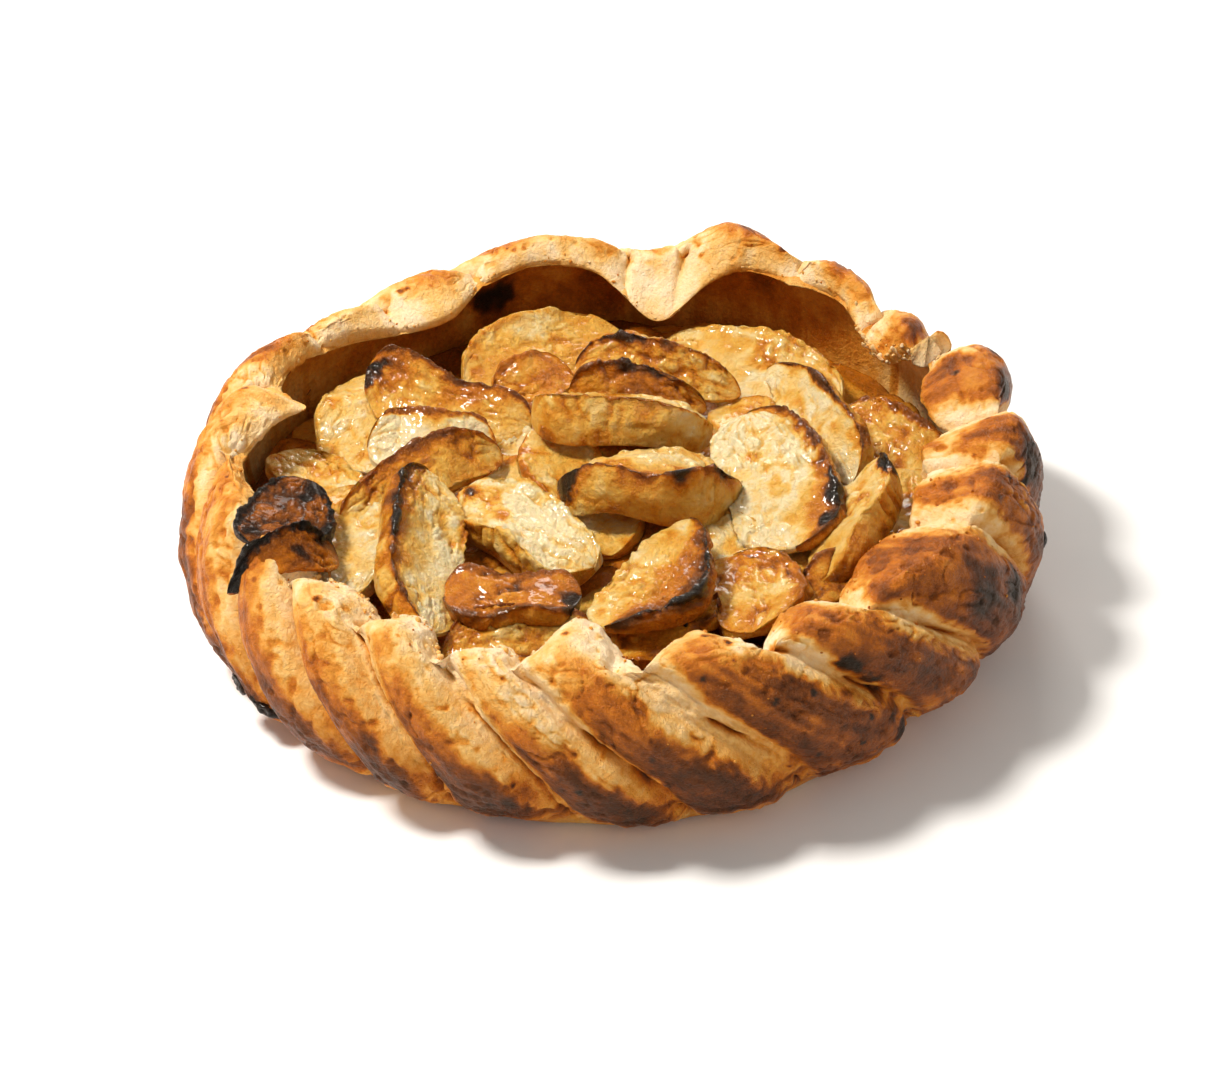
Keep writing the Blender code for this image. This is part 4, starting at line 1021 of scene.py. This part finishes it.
for number, (path, wide, thick, middle, end) in enumerate(SCRAPS):
    rings = scrap_rings(number, path, wide, thick)
    share = np.abs(np.linspace(-1.0, 1.0, SCRAP_RINGS))[:, None]
    scrap_roast = np.clip(middle + (end - middle) * share + 0.08 * lumps(rings, 1.6, 72), 0.0, 1.0)
    scrap = closed_mesh("burnt_scrap_%d" % number, rings, "roast", scrap_roast)
    scrap.data.materials.append(CHARRED)
    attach(scrap, "root")

# Floor, light and camera
# A pale studio floor under broad soft lamps: the main one high on the left, a weaker one at the front right
# and one behind that lights the far rim.
FLOOR_HALF = 3.0                # metres
WARM_WHITE = (1.0, 0.955, 0.885)
SKY = (1.0, 0.955, 0.89, 1.0)
SKY_STRENGTH = 0.38
LIT_POINT = Vector((0.0, 0.0, 0.03))
# Each lamp: place and size in metres, power in watts
LAMPS = {
    "left_lamp": ((-0.55, 0.06, 1.0), 0.22, 15.4),
    "front_lamp": ((0.45, -0.95, 0.7), 0.7, 1.4),
    "back_lamp": ((0.1, 0.9, 0.6), 0.3, 3.5),
}
floor_mesh = bpy.data.meshes.new("floor")
corners = [(x * FLOOR_HALF, y * FLOOR_HALF, 0.0) for x, y in ((-1, -1), (1, -1), (1, 1), (-1, 1))]
floor_mesh.from_pydata(corners, [], [(0, 1, 2, 3)])
paper, paper_tree, paper_shader = plain_finish("pale_floor", Roughness=0.9, Specular_IOR_Level=0.2)
paper_whites = (0.3, linear(246, 246, 246)), (0.7, linear(250, 250, 250))
fill(paper_shader, {"Base Color": ramp(paper_tree, speckle(paper_tree, 40.0), paper_whites)})
floor_mesh.materials.append(paper)
placed("floor", floor_mesh)

world = bpy.data.worlds.new("studio")
world.use_nodes = True
world.node_tree.nodes["Background"].inputs["Color"].default_value = SKY
world.node_tree.nodes["Background"].inputs["Strength"].default_value = SKY_STRENGTH
bpy.context.scene.world = world
bpy.context.scene.view_settings.view_transform = "Standard"

for lamp_name, (place, size, power) in LAMPS.items():
    lamp = bpy.data.lights.new(lamp_name, "AREA")
    lamp.size, lamp.energy, lamp.color = size, power, WARM_WHITE
    holder = placed(lamp_name, lamp)
    holder.location = place
    holder.rotation_euler = (LIT_POINT - Vector(place)).to_track_quat("-Z", "Y").to_euler()

SENSOR_WIDTH = 36.0             # millimetres
IMAGE_WIDTH = 1230              # pixels, as the photograph
PIXELS_PER_METRE = 3600.0       # at the target
CAMERA_ELEVATION = 35.5
CAMERA_DISTANCE = 0.85
CAMERA_ROLL = -1.5
CAMERA_TARGET = Vector((0.0, 0.0, 0.016))
lean, roll = math.radians(CAMERA_ELEVATION), math.radians(CAMERA_ROLL)
back = Vector((0.0, -math.cos(lean), math.sin(lean)))
level = Vector((1.0, 0.0, 0.0))
upward = back.cross(level)
right = math.cos(roll) * level + math.sin(roll) * upward
upward = math.cos(roll) * upward - math.sin(roll) * level
camera_data = bpy.data.cameras.new("camera")
camera_data.sensor_width = SENSOR_WIDTH
camera_data.lens = PIXELS_PER_METRE * CAMERA_DISTANCE / IMAGE_WIDTH * SENSOR_WIDTH
camera = placed("camera", camera_data)
camera.matrix_world = (Matrix.Translation(CAMERA_TARGET + CAMERA_DISTANCE * back)
                       @ Matrix((right, upward, back)).transposed().to_4x4())
bpy.context.scene.camera = camera
